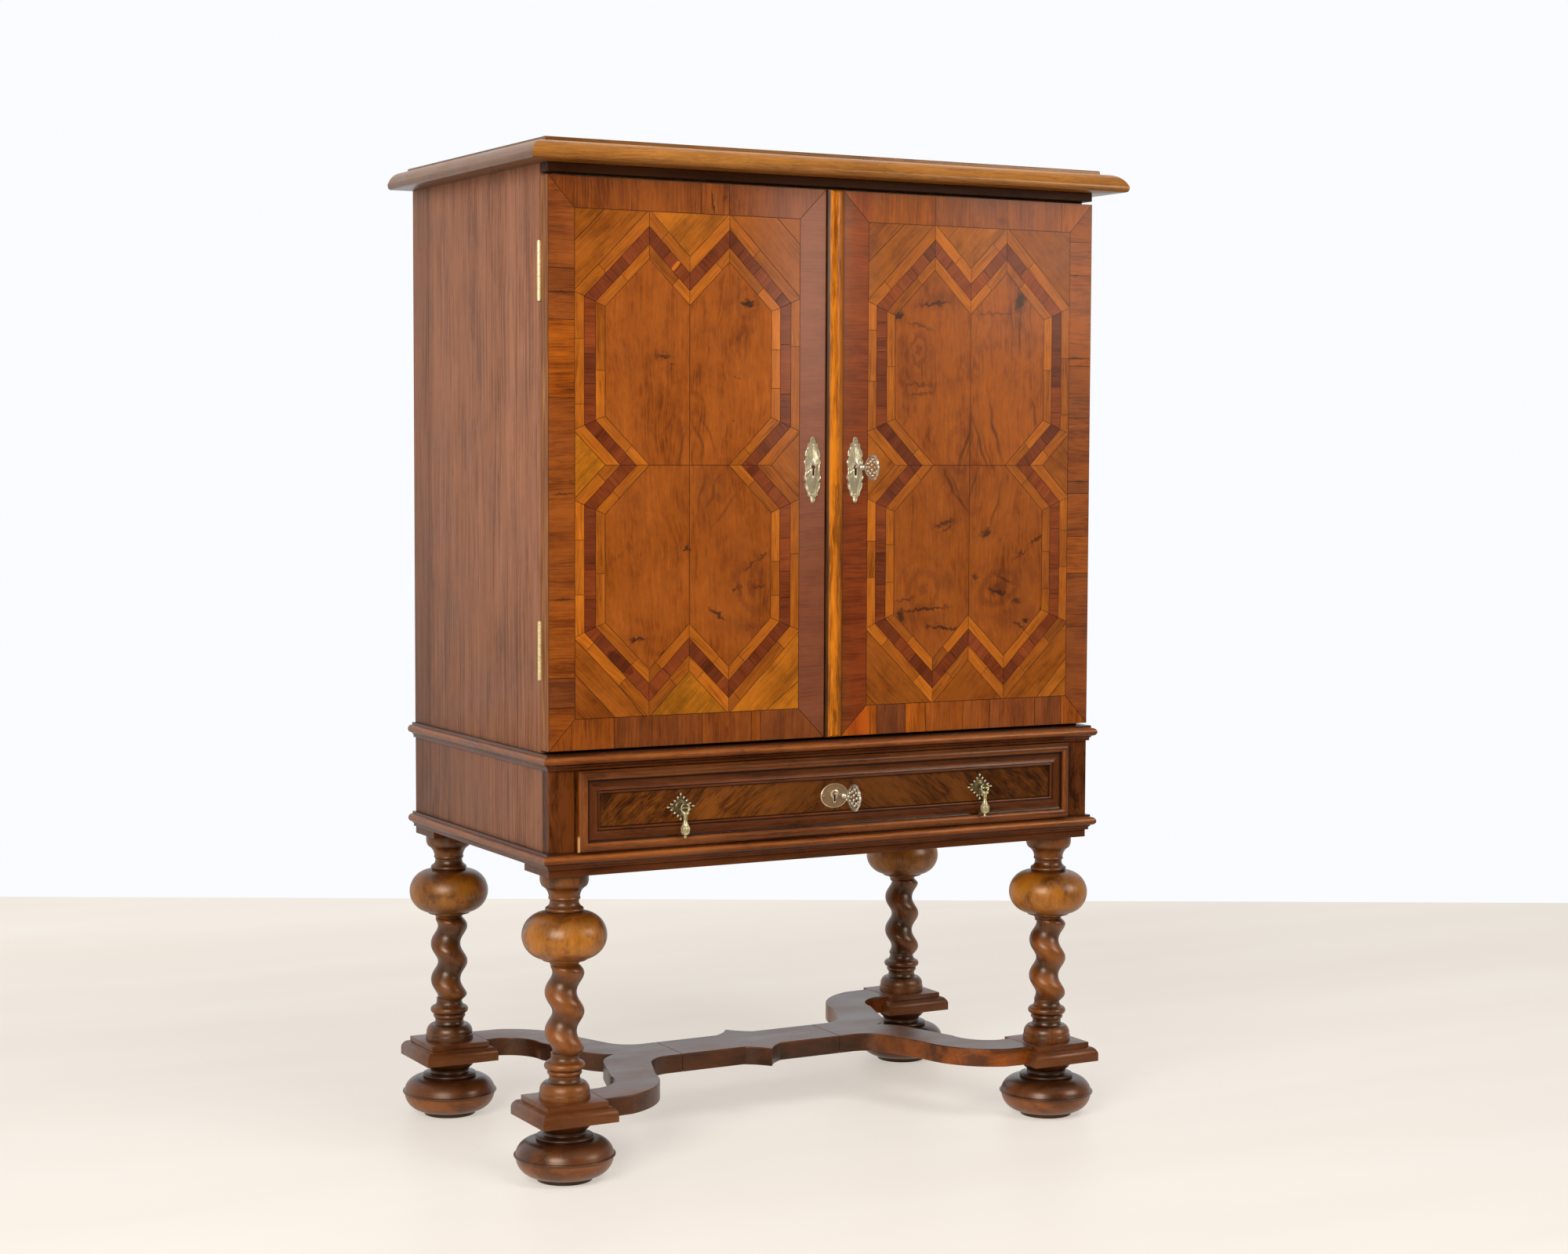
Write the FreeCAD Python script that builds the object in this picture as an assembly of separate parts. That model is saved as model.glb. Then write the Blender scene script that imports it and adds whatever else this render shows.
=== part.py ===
"""Veneered cabinet on a twist-turned stand: one STEP file for each named piece.

Lengths are millimetres. X runs to the right along the front, Y from the front to the back, Z up.
The pieces are drawn with y = 0 on the common front face of doors, frieze and drawer case, and
save() then moves them so that the origin is under the middle of the whole, on the floor.
"""
import FreeCAD, Part
import math
import os

# ---- main sizes ----------------------------------------------------------------------------
case_width = 940.0
case_depth = 530.0
board = 18.0                     # side panels of both cases
thin_board = 12.0                # backs and drawer sides
foot_height = 91.0
plinth_height = 30.0
leg_height = 334.0
stand_rail_thickness = 12.0
stand_rail_front_width = 90.0
stand_rail_back_width = 79.0
base_height = 24.0               # bottom rail and the moulding planted on it
drawer_opening_height = 120.0
waist_height = 24.0
door_height = 825.5
door_bottom_gap = 4.0
door_top_gap = 4.5
frieze_height = 13.5
cornice_height = 27.5
cap_thickness = 7.0

# ---- clearances ----------------------------------------------------------------------------
glue_gap = 0.1                   # round tenons and posts in their sockets
pin_gap = 0.05                   # hinge and pull pins in their bores
slide_gap = 0.3                  # bolts in their guides
mortise_gap = 1.0                # bolts in the wood that they lock into
knuckle_gap = 0.3                # between neighbouring knuckles, and around them
drawer_side_gap = 1.0
drawer_bottom_gap = 0.4
meeting_gap = 1.0                # between the two doors
nick = 0.5                       # small softened edges
tiny = 1e-3                      # lengths under this count as nothing

# ---- stand ---------------------------------------------------------------------------------
leg_inset_side = 42.7
leg_inset_front = 41.2
leg_inset_back = 34.5
tenon_radius = 12.0
tenon_top_length = 8.0
tenon_foot_length = 30.0
plinth_slab = 98.0
plinth_slab_height = 7.0
plinth_width = 121.0
plinth_round = 14.0              # height of the quarter round under the slab
plinth_bulge = 3.6
stretcher_thickness = 29.0
twist_radius = 24.0              # round strand of the twist
twist_offset = 6.0               # strand centre from the leg's axis
twist_pitch = 58.2
# Strand direction at the top of each leg's twist, degrees: the legs weren't turned alike.
twist_phases = {"front_left": -103.0, "front_right": -79.0, "back_left": -114.0,
                "back_right": -59.0}
twist_swell = 31.0
twist_run_out = 14.0             # height in which the twist fades into the necks
twist_run_out_bulge = 1.6

# Turnings, from the bottom up: height of the step, radius at its top, bulge outwards.
foot_start = 41.0
foot_turning = [
    (6.0, 41.0, 0.0),            # ground disc
    (1.0, 47.0, 0.0),
    (30.0, 75.0, 7.0),           # lower half of the ball
    (2.0, 75.0, 0.0),            # ridge
    (22.0, 47.0, 6.5),           # upper half of the ball
    (0.5, 41.5, 0.0),
    (5.5, 41.5, 1.8),            # thin disc
    (1.0, 32.0, 0.0),
    (8.0, 33.5, -1.6),           # neck
    (15.0, 43.0, 1.8),           # cushion
]
leg_start = 38.0
leg_lower_turning = [
    (8.5, 38.0, 0.0),            # base drum
    (1.5, 36.8, 0.0),
    (15.0, 30.0, 2.5),           # dome
    (0.5, 25.0, 0.0),
    (10.0, 23.5, -1.5),          # cove
    (0.5, 24.0, 0.0),
    (6.5, 24.0, 1.8),            # bead
    (1.0, 26.5, 0.0),
    (11.5, 25.0, 4.5),           # ring
    (9.0, 20.3, -1.5),           # neck under the twist
    (4.0, 20.3, 0.0),
]
leg_upper_start = 20.5
leg_upper_turning = [
    (4.0, 21.2, 0.0),            # neck over the twist
    (6.0, 32.7, -2.2),
    (2.5, 33.5, 0.6),            # lip
    (68.0, 33.0, 29.7),          # bun
    (1.0, 26.5, 0.0),
    (7.0, 26.0, 2.4),            # neck ring
    (11.0, 22.0, -2.0),
    (4.0, 23.0, 1.2),            # bead
    (16.0, 33.0, -2.5),          # bell
    (11.0, 36.1, 1.0),           # cup
    (7.5, 36.1, 0.0),
]
neck_overlap = 4.0               # length of each neck inside the ends of the twist

# Stretcher: a bar with a cusp on each edge, and a fork at each end. Reaches are measured from
# the inner face of the plinth slab towards the middle, rises from the middle line outwards.
bar_half_width = 48.5
cusp_half_base = 34.0
cusp_rise = 33.0
cusp_hollow = 3.0
fork_length = 235.0
arm_end_width = 68.0
throat_reach = 213.0
elbow_reach = 165.0
elbow_rise = 31.5
elbow_hollow = 9.0
shin_reach = 138.0
shin_drop = 77.0                 # below the leg's centre line
heel_reach = 48.0
heel_round = 20.0
heel_drop = 3.0                  # from the outer edge of the arm's end
notch_reach = 135.0
notch_lip_reach = 98.0
notch_lip_rise = 48.0
notch_round = 6.0
instep_reach = 70.0
instep_drop = 95.0
toe_reach = 22.0
instep_round = 14.0

# ---- planted mouldings: height of the step, projection at its top, bulge outwards ----------
moulding_start = 3.5
moulding_profile = [
    (2.2, 3.5, 0.0),             # bottom fillet
    (3.3, 5.8, -0.9),            # hollow
    (1.6, 5.8, 0.0),
    (0.6, 8.2, 0.0),
    (12.3, 7.0, 5.3),            # torus
    (0.6, 5.5, 0.0),
]                                # the rest of the height is the top fillet
moulding_thinning = 5.5
cornice_overhang = 42.0
cornice_seat = 60.0              # width of the cornice moulding behind the case's face
cornice_under_round = 4.0
cornice_under_bulge = 1.2
cornice_nose = 5.5
cornice_nose_bulge = 0.8
cornice_step = 1.0               # small fillets under the crown and under the cap
cornice_crown_bulge = 6.5
cap_overhang = 8.6
cap_edge_round = 1.5
cornice_back_thickness = 20.0

# ---- doors ---------------------------------------------------------------------------------
veneer = 1.2
door_thickness = 27.5            # with its veneer
hinge_plane = 28.0               # the hinge axis lies this far behind the front face
edge_gap = 1.0                   # between the back of a door and the front edge of the case
astragal_width = 28.0
astragal_proud = 9.5
astragal_square = 3.0
astragal_end_round = 8.0
astragal_end_bulge = 2.4
shelf_thickness = 16.0
shelf_front = 62.0
shelf_rise = 433.0               # underside of the shelf over the cupboard's bottom edge
batten = 16.0

# ---- veneer pattern: a mitred border, and a band of three strips with corners at 45 degrees --
border_top = 45.5
border_outer = 41.5
border_inner = 45.5              # from the closing strip
band_side_margin = 24.0          # from the field's edge to the middle of the dark strip
band_end_margin = 34.25
band_apex = 65.7
band_waist = 61.0
dark_strip = 18.0
outer_strip = 17.0
inner_strip = 15.0

# ---- hinges --------------------------------------------------------------------------------
hinge_length = 83.0
hinge_inset_low = 144.5          # middle of each hinge from the door's end
hinge_inset_high = 135.0
hinge_out = 1.2                  # axis beyond the side of the case
knuckle_radius = 3.2
knuckles = 5
pin_radius = 1.5
pin_head_radius = 2.6
pin_head_height = 1.5
leaf_thickness = 1.7
leaf_width = 15.0
leaf_gap = 0.3                   # from the hinge plane to each leaf
screw_length = 12.0
screw_radius = 1.4
screw_head_radius = 2.4
screws_per_leaf = 3

# ---- escutcheons, locks and keys -----------------------------------------------------------
plate_thickness = 1.2
escutcheon_x = 37.0
escutcheon_drop = 7.05           # plate's middle under the door's middle
escutcheon_half_height = 50.0
escutcheon_knob_bulge = 1.4
# right-hand edge of the door escutcheon from the middle upwards: rise, half width, bulge
escutcheon_edge = [
    (0.0, 14.0, 0.0),
    (13.0, 15.0, 0.8),
    (19.5, 11.4, -0.6),
    (24.0, 13.0, 1.0),
    (38.5, 9.5, 1.0),
    (41.0, 5.0, 0.3),
]
keyhole_rise = 4.0
keyhole_radius = 3.2
keyhole_slot = 3.0
keyhole_drop = 12.5
wood_hole_extra = 1.2            # the keyhole in the wood is larger all round
nail_radius = 0.8
nail_head_radius = 2.0
nail_head_rise = 1.0
nail_length = 9.0
nail_inset = 10.5
oval_half_width = 24.0
oval_half_height = 18.8
oval_rim = 2.2
oval_nail_inset = 5.2            # middle of each nail from the plate's edge
oval_rim_rise = 1.6

key_radius = 2.6
key_bore_radius = 1.36
key_bore_depth = 6.0
lock_post_radius = 1.3
bit_reach = 10.5
bit_thickness = 2.2
bit_length = 7.0
bit_end = 1.0                    # shank beyond the bit
key_collar_radius = 4.2
key_collar_length = 4.0
door_key_shank = 27.0            # from the plate to the bow
drawer_key_shank = 36.0
bow_length = 45.0
bow_half_height = 20.5
bow_thickness = 4.2
bow_rim = 4.0
bow_scroll_radius = 8.0
bow_scroll_rim = 2.4

lock_wall = 1.5
lock_depth = 14.0
door_lock_left = 10.0            # lock case beyond the middle of the cabinet
door_lock_right = 58.0
door_lock_below = 36.0
door_lock_above = 40.0
door_bolt_travel = 13.0
bolt_height = 8.0
bolt_thickness = 5.0
bolt_clear = 0.8                 # over the circle that the key's bit sweeps
drawer_lock_half_width = 26.0
drawer_lock_below = 28.0
drawer_bolt_travel = 9.0
drawer_bolt_half_width = 8.0

left_bolt_x = 45.0
left_bolt_width = 8.0
left_bolt_thickness = 4.0
left_bolt_length = 102.0
left_bolt_travel = 12.0
left_bolt_plate_thickness = 5.2
left_bolt_plate_width = 20.0
left_bolt_plate_length = 90.0
left_bolt_seat_gap = 1.0         # over the cupboard's bottom board
staple_height = 9.0
staple_wall = 1.5
knob_radius = 3.0
knob_length = 8.0
strike_width = 14.0
strike_height = 30.0
strike_gap = 1.4                 # under the bolt

# ---- drawer --------------------------------------------------------------------------------
stile_width = 41.0
stile_depth = 24.0
drawer_front_thickness = 22.0
drawer_front_proud = 7.0         # field of the drawer front before the case's face
drawer_top_gap = 1.0
# frame moulding: distance in from the drawer's edge, rise before the field, bulge outwards
frame_profile = [
    (0.0, 0.0, 0.0),
    (0.0, 4.4, 0.0),
    (1.2, 5.6, 4.5),             # torus
    (14.0, 6.9, 0.0),
    (14.0, 4.3, 0.0),
    (17.0, 3.8, -1.0),           # hollow
    (29.5, 5.2, 0.0),
    (30.5, 3.3, 0.7),            # bead
    (34.0, 3.0, 0.0),
    (35.5, 0.0, 0.0),
]
drawer_side_height = 100.0
drawer_rear_gap = 13.0           # from the drawer's back to the case's
drawer_bottom_thickness = 8.0
drawer_bottom_rise = 3.0
runner_width = 50.0
guide_width = 22.5
guide_height = 30.0
case_bottom_thickness = 10.0
drawer_keyhole_offset = 2.3      # from the middle of the drawer front, upwards
oval_offset = -1.2

# ---- pulls ---------------------------------------------------------------------------------
pull_x = 262.0
pull_offset = -2.2               # from the middle of the drawer front, upwards
pull_axis_proud = 17.0           # before the drawer's field
pull_plate_half_width = 21.5
pull_plate_half_height = 19.5
pull_plate_thickness = 1.6
pull_plate_waist = 2.6
pull_bead_radius = 1.7
pull_beads_per_side = 4
pull_lug_width = 5.0
pull_lug_radius = 3.0
pull_post_radius = 2.5           # post behind the plate, in the drawer front
pull_post_length = 10.0
pull_pin_radius = 1.3
pull_arm_width = 2.2
pull_arm_gap = 0.3
pull_arm_root = 1.0              # of each arm inside the collar
pull_tip_radius = 2.6
pull_tip_sink = 1.5              # from the tip's middle up to the belly
# the drop from its tip upwards: height of the step, radius at its top, bulge outwards
pull_drop_start = 1.4
pull_turning = [
    (1.2, 1.4, 0.0),
    (7.5, 7.0, 2.0),             # underside of the belly
    (4.0, 7.3, 0.5),
    (14.0, 2.8, -1.2),           # throat
    (5.0, 3.6, 0.0),
    (1.0, 5.6, 0.0),
    (2.6, 5.6, 0.7),             # collar
]
pull_collar_drop = 6.5           # collar's top under the pin


# ---- levels that follow from the sizes above -------------------------------------------------
half_width = case_width / 2
z_plinth = foot_height
z_leg = z_plinth + plinth_height
z_stand_rail = z_leg + leg_height
z_case = z_stand_rail + stand_rail_thickness
z_drawer = z_case + base_height
z_waist = z_drawer + drawer_opening_height
z_cupboard = z_waist + waist_height
z_door = z_cupboard + door_bottom_gap
z_frieze = z_door + door_height + door_top_gap
z_cornice = z_frieze + frieze_height
z_cap = z_cornice + cornice_height
z_top = z_cap + cap_thickness
case_front = door_thickness + edge_gap          # front edges of the cupboard's boards
leg_x = half_width - leg_inset_side
leg_y_front = leg_inset_front
leg_y_back = case_depth - leg_inset_back
inside = half_width - board
shelf_z = z_cupboard + shelf_rise
escutcheon_z = z_door + door_height / 2 - escutcheon_drop
field_half_width = (half_width - border_outer - astragal_width / 2 - border_inner) / 2
field_half_height = door_height / 2 - border_top
field_centre = half_width - border_outer - field_half_width
band_half_width = field_half_width - band_side_margin      # to the middle of the dark strip
band_half_height = field_half_height - band_end_margin
field_y = -drawer_front_proud
drawer_back_y = field_y + drawer_front_thickness
drawer_length = case_depth - thin_board - drawer_rear_gap - drawer_back_y
z_drawer_bottom = z_drawer + drawer_bottom_gap
z_drawer_top = z_waist - drawer_top_gap
z_drawer_middle = (z_drawer_bottom + z_drawer_top) / 2
drawer_keyhole_z = z_drawer_middle + drawer_keyhole_offset
oval_z = z_drawer_middle + oval_offset
pull_axis_z = z_drawer_middle + pull_offset
drawer_half_width = half_width - stile_width - drawer_side_gap
ball_radius = max(radius for _, radius, _ in foot_turning)
front_reach = max(drawer_front_proud + drawer_key_shank + bow_length, cornice_overhang,
                  ball_radius - leg_y_front)
back_reach = max(case_depth, leg_y_back + ball_radius)
y_middle = (back_reach - front_reach) / 2


# ---- helpers ---------------------------------------------------------------------------------
def box(x0, x1, y0, y1, z0, z1):
    return Part.makeBox(x1 - x0, y1 - y0, z1 - z0, FreeCAD.Vector(x0, y0, z0))


def rod(radius, start, along):
    """A cylinder from start, a point, along a vector."""
    direction = FreeCAD.Vector(*along)
    return Part.makeCylinder(radius, direction.Length, FreeCAD.Vector(*start), direction)


def face_of(points, place):
    """A face from points (u, v, bulge): bulge is the rise of the edge that leaves the point,
    positive to the right of its direction. place turns (u, v) into a vector."""
    edges = []
    for (u, v, bulge), (next_u, next_v, _) in zip(points, points[1:] + points[:1]):
        start, end = place(u, v), place(next_u, next_v)
        if (end - start).Length < tiny:
            continue
        if abs(bulge) < tiny:
            edges.append(Part.LineSegment(start, end).toShape())
            continue
        length = math.hypot(next_u - u, next_v - v)
        middle = place((u + next_u) / 2 + bulge * (next_v - v) / length,
                       (v + next_v) / 2 - bulge * (next_u - u) / length)
        edges.append(Part.Arc(start, middle, end).toShape())
    return Part.Face(Part.Wire(edges))


def flat(u, v):
    return FreeCAD.Vector(u, v, 0)


def upright(u, v):
    return FreeCAD.Vector(u, 0, v)


def plan_solid(points, z0, z1):
    """A plan outline, extruded from z0 up to z1."""
    solid = face_of(points, flat).extrude(FreeCAD.Vector(0, 0, z1 - z0))
    solid.translate(FreeCAD.Vector(0, 0, z0))
    return solid


def front_solid(points, y0, y1):
    """An outline seen from the front, extruded from y0 back to y1."""
    solid = face_of(points, upright).extrude(FreeCAD.Vector(0, y1 - y0, 0))
    solid.translate(FreeCAD.Vector(0, y0, 0))
    return solid


def stack(start, steps, z0):
    """Points of a turning or moulding whose edge climbs from z0 in steps."""
    points = [(start, z0)]
    bulges = []
    for height, reach, bulge in steps:
        points.append((reach, points[-1][1] + height))
        bulges.append(bulge)
    return [(u, v, bulge) for (u, v), bulge in zip(points, bulges + [0.0])]


def turned(start, steps, z0):
    """A turned solid about the Z axis, from z0 up."""
    edge = stack(start, steps, z0)
    outline = [(0, z0, 0)] + edge + [(0, edge[-1][1], 0)]
    return face_of(outline, upright).revolve(
        FreeCAD.Vector(0, 0, 0), FreeCAD.Vector(0, 0, 1), 360)


def moved(shape, x=0.0, y=0.0, z=0.0):
    copy = shape.copy()
    copy.translate(FreeCAD.Vector(x, y, z))
    return copy


def mirrored(shape):
    """The same piece on the other side of the cabinet."""
    return shape.mirror(FreeCAD.Vector(0, 0, 0), FreeCAD.Vector(1, 0, 0))


def both_sides(shape):
    return [shape, mirrored(shape)]


def group(shapes):
    return Part.makeCompound(list(shapes))


def cut_all(shape, tools):
    for tool in tools:
        shape = shape.cut(tool)
    return shape


# ---- stand -----------------------------------------------------------------------------------
leg_places = [(side * leg_x, y) for y in (leg_y_front, leg_y_back) for side in (-1, 1)]
leg_names = ["front_left", "front_right", "back_left", "back_right"]


def foot():
    solid = turned(foot_start, foot_turning, 0)
    return solid.cut(rod(tenon_radius + glue_gap, (0, 0, z_plinth - tenon_foot_length - glue_gap),
                         (0, 0, tenon_foot_length + glue_gap)))


def twist(z0, z1):
    """One round strand that winds about the axis, run out into the necks at both ends. At its
    top it lies towards +X."""
    height = z1 - z0
    turn = 360 * height / twist_pitch
    helix = Part.makeHelix(twist_pitch, height, twist_offset, 0, True)
    start = FreeCAD.Vector(twist_offset, 0, 0)
    ring = Part.Wire([Part.Circle(start, FreeCAD.Vector(0, 0, 1), twist_radius).toShape()])
    strand = Part.Wire(helix).makePipeShell([ring], True, True)
    strand.rotate(FreeCAD.Vector(0, 0, 0), FreeCAD.Vector(0, 0, 1), turn)
    strand.translate(FreeCAD.Vector(0, 0, z0))
    neck = leg_lower_turning[-1][1]
    straight = height - 2 * twist_run_out
    envelope = turned(neck, [
        (twist_run_out, twist_swell, twist_run_out_bulge),
        (straight, twist_swell, 0.0),
        (twist_run_out, leg_upper_start, twist_run_out_bulge),
    ], z0)
    return strand.common(envelope)


def leg():
    lower = turned(leg_start, leg_lower_turning, z_leg)
    lower_height = sum(step[0] for step in leg_lower_turning)
    upper_height = sum(step[0] for step in leg_upper_turning)
    z_upper = z_stand_rail - upper_height
    upper = turned(leg_upper_start, leg_upper_turning, z_upper)
    z_low = z_leg + lower_height - neck_overlap
    z_high = z_upper + neck_overlap
    solid = twist(z_low, z_high).fuse([
        lower, upper,
        rod(tenon_radius, (0, 0, z_plinth - tenon_foot_length),
            (0, 0, plinth_height + tenon_foot_length)),
        rod(tenon_radius, (0, 0, z_stand_rail), (0, 0, tenon_top_length)),
    ])
    return solid


def plinth(side):
    """Square block with a slab on a quarter round, mitred on all four sides. side is -1 for a
    left-hand block, whose housing for the stretcher's arm is on its right, and 1 for the other."""
    half, slab = plinth_width / 2, plinth_slab / 2
    z_slab = z_leg - plinth_slab_height
    z_round = z_slab - plinth_round
    outline = [
        (half, z_plinth, 0), (half, z_round, plinth_bulge), (slab + nick, z_slab, 0),
        (slab, z_slab, 0), (slab, z_leg, 0), (-slab, z_leg, 0), (-slab, z_slab, 0),
        (-slab - nick, z_slab, plinth_bulge), (-half, z_round, 0), (-half, z_plinth, 0),
    ]
    across = front_solid(outline, -half, half)
    along = across.copy()
    along.rotate(FreeCAD.Vector(0, 0, 0), FreeCAD.Vector(0, 0, 1), 90)
    housing = sorted((-side * slab, -side * (half + nick)))
    half_arm = arm_end_width / 2
    tools = [rod(tenon_radius + glue_gap, (0, 0, z_plinth), (0, 0, plinth_height)),
             box(housing[0], housing[1], -half_arm, half_arm, z_leg - stretcher_thickness, z_leg)]
    return cut_all(across.common(along), tools)


stretcher_y = (leg_y_front + leg_y_back) / 2
fork_root = leg_x - plinth_slab / 2 - fork_length     # where the forks join the bar


def stretcher_bar():
    front = [(-fork_root, -bar_half_width, 0), (-cusp_half_base, -bar_half_width, -cusp_hollow),
             (0, -bar_half_width - cusp_rise, -cusp_hollow), (cusp_half_base, -bar_half_width, 0),
             (fork_root, -bar_half_width, 0)]
    back = [(-u, -v, bulge) for u, v, bulge in front]
    solid = plan_solid(front + back, z_leg - stretcher_thickness, z_leg)
    return moved(solid, y=stretcher_y)


def stretcher_fork():
    """The right-hand fork: two S-curved arms that run into the plinth blocks."""
    face = leg_x - plinth_slab / 2
    leg_rise = (leg_y_back - leg_y_front) / 2
    outer, inner = leg_rise + arm_end_width / 2, leg_rise - arm_end_width / 2
    upper = [
        (fork_root, bar_half_width, 0),
        (face - throat_reach, bar_half_width, elbow_hollow),
        (face - elbow_reach, bar_half_width + elbow_rise, 0),
        (face - shin_reach, leg_rise - shin_drop, -heel_round),
        (face - heel_reach, outer - heel_drop, 0),
        (face, outer, 0),
        (face, inner, 0),
        (face - toe_reach, inner, instep_round),
        (face - instep_reach, leg_rise - instep_drop, 0),
        (face - notch_lip_reach, notch_lip_rise, -notch_round),
        (face - notch_reach, 0, 0),
    ]
    # The mirrored half runs the other way round, so its bulges belong to the edge before.
    lower = [(u, -v, upper[i - 1][2]) for i, (u, v, _) in enumerate(upper) if v > 0]
    outline = upper + list(reversed(lower))
    outline[len(upper) - 1] = (face - notch_reach, 0, -notch_round)
    solid = plan_solid(outline, z_leg - stretcher_thickness, z_leg)
    return moved(solid, y=stretcher_y)


def stand_rails():
    """Front and back boards on the legs, with sockets for the tenons."""
    rails = [
        box(-half_width, half_width, 0, stand_rail_front_width, z_stand_rail, z_case),
        box(-half_width, half_width, case_depth - stand_rail_back_width, case_depth,
            z_stand_rail, z_case),
    ]
    sockets = [rod(tenon_radius + glue_gap, (x, y, z_stand_rail),
                   (0, 0, tenon_top_length + glue_gap)) for x, y in leg_places]
    return [cut_all(rail, sockets) for rail in rails]


# ---- mouldings ---------------------------------------------------------------------------------
def mitre_zone(part, reach, seat):
    """The plan area of a moulding: the front length, or the right-hand return."""
    w = half_width
    if part == "front":
        corners = [(-w - reach, -reach), (w + reach, -reach), (w - seat, seat), (seat - w, seat)]
    else:
        corners = [(w + reach, -reach), (w + reach, case_depth), (w - seat, case_depth),
                   (w - seat, seat)]
    return plan_solid([(x, y, 0) for x, y in corners], 0, z_top)


def moulding(part, profile, reach, seat):
    """A length with the given profile (projection, height, bulge), mitred at the corners."""
    if part == "front":
        length = case_width + 2 * reach
        bar = face_of(profile, lambda p, z: FreeCAD.Vector(-length / 2, -p, z)).extrude(
            FreeCAD.Vector(length, 0, 0))
    else:
        bar = face_of(profile, lambda p, z: FreeCAD.Vector(half_width + p, -reach, z)).extrude(
            FreeCAD.Vector(0, case_depth + reach, 0))
    return bar.common(mitre_zone(part, reach, seat))


def planted_profile(z0, height):
    """Profile of the mouldings round the base and the waist, z0 at the bottom."""
    edge = stack(moulding_start, moulding_profile, z0)
    return [(0, z0, 0)] + edge + [(moulding_thinning, z0 + height, 0), (0, z0 + height, 0)]


def planted(part, z0, height):
    nose = max(reach + max(bulge, 0) for _, reach, bulge in moulding_profile)
    return moulding(part, planted_profile(z0, height), nose + nick, 0)


def cornice(part):
    profile = [
        (-cornice_seat, z_cornice, 0),
        (cornice_overhang - cornice_under_round, z_cornice, cornice_under_bulge),
        (cornice_overhang, z_cornice + cornice_nose, cornice_nose_bulge),
        (cornice_overhang - cornice_step, z_cornice + 2 * cornice_nose, cornice_crown_bulge),
        (cap_overhang + cornice_step, z_cap, 0),
        (-cornice_seat, z_cap, 0),
    ]
    return moulding(part, profile, cornice_overhang + nick, cornice_seat)


def cornice_back():
    end = half_width - cornice_seat
    return box(-end, end, case_depth - cornice_back_thickness, case_depth, z_cornice, z_cap)


def cap_board():
    w = half_width + cap_overhang
    solid = box(-w, w, -cap_overhang, case_depth, z_cap, z_top)
    rim = [edge for edge in solid.Edges if edge.BoundBox.ZMin > z_top - tiny
           and edge.BoundBox.YMin < case_depth - tiny]
    return solid.makeFillet(cap_edge_round, rim)


# ---- drawer case ---------------------------------------------------------------------------------
def drawer_case_side():
    return box(inside, half_width, stile_depth, case_depth, z_case, z_waist)


def front_stile():
    return box(half_width - stile_width, half_width, 0, stile_depth, z_case, z_waist)


def bottom_rail():
    end = half_width - stile_width
    return box(-end, end, 0, stile_depth, z_case, z_drawer)


def drawer_case_bottom():
    return box(-inside, inside, stile_depth, case_depth - thin_board,
               z_case, z_case + case_bottom_thickness)


def drawer_case_back():
    return box(-inside, inside, case_depth - thin_board, case_depth, z_case, z_waist)


def runner_and_guide():
    """Right-hand strip under the drawer's side, and the strip beside it."""
    depth = (stile_depth, case_depth - thin_board)
    z_floor = z_case + case_bottom_thickness
    runner = box(inside - runner_width, inside, *depth, z_floor, z_drawer)
    guide = box(inside - guide_width, inside, *depth, z_drawer, z_drawer + guide_height)
    return [runner, guide]


def waist_board():
    """Top of the drawer case, with a mortise for the bolt of the drawer's lock."""
    solid = box(-half_width, half_width, 0, case_depth, z_waist, z_cupboard)
    w = drawer_bolt_half_width + mortise_gap
    y0, y1 = drawer_bolt_y()
    return solid.cut(box(-w, w, y0 - mortise_gap, y1 + mortise_gap, z_waist,
                         z_waist + drawer_bolt_travel + mortise_gap))


# ---- cupboard ------------------------------------------------------------------------------------
def left_bolt_y():
    y0 = door_thickness + left_bolt_plate_thickness + slide_gap
    return y0, y0 + left_bolt_thickness


def cupboard_side():
    """Right-hand side, let in for the hinges on its front edge."""
    solid = box(inside, half_width, case_front, case_depth, z_cupboard, z_cornice)
    return cut_all(solid, [tool for z in hinge_places() for tool in hinge_housing(z)])


def cupboard_bottom():
    solid = box(-inside, inside, case_front, case_depth - thin_board,
                z_cupboard, z_cupboard + board)
    y0, y1 = left_bolt_y()
    half = left_bolt_width / 2 + mortise_gap
    z_hole = z_cupboard + board - left_bolt_travel
    return solid.cut(box(-left_bolt_x - half, -left_bolt_x + half, y0 - mortise_gap,
                         y1 + mortise_gap, z_hole, z_cupboard + board))


def cupboard_top():
    return box(-inside, inside, case_front, case_depth - thin_board, z_cornice - board, z_cornice)


def cupboard_back():
    return box(-inside, inside, case_depth - thin_board, case_depth, z_cupboard, z_cornice)


def frieze_rail():
    return box(-half_width, half_width, 0, case_front, z_frieze, z_cornice)


def shelf():
    return box(-inside, inside, shelf_front, case_depth - thin_board,
               shelf_z, shelf_z + shelf_thickness)


def shelf_batten():
    return box(inside - batten, inside, shelf_front + batten, case_depth - thin_board,
               shelf_z - batten, shelf_z)


# ---- hinges: the right-hand ones, about a vertical pin just outside the case's corner ------------
hinge_x = half_width + hinge_out


def hinge_places():
    """Lower end of each hinge."""
    middles = [z_door + hinge_inset_low, z_door + door_height - hinge_inset_high]
    return [z - hinge_length / 2 for z in middles]


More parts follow.
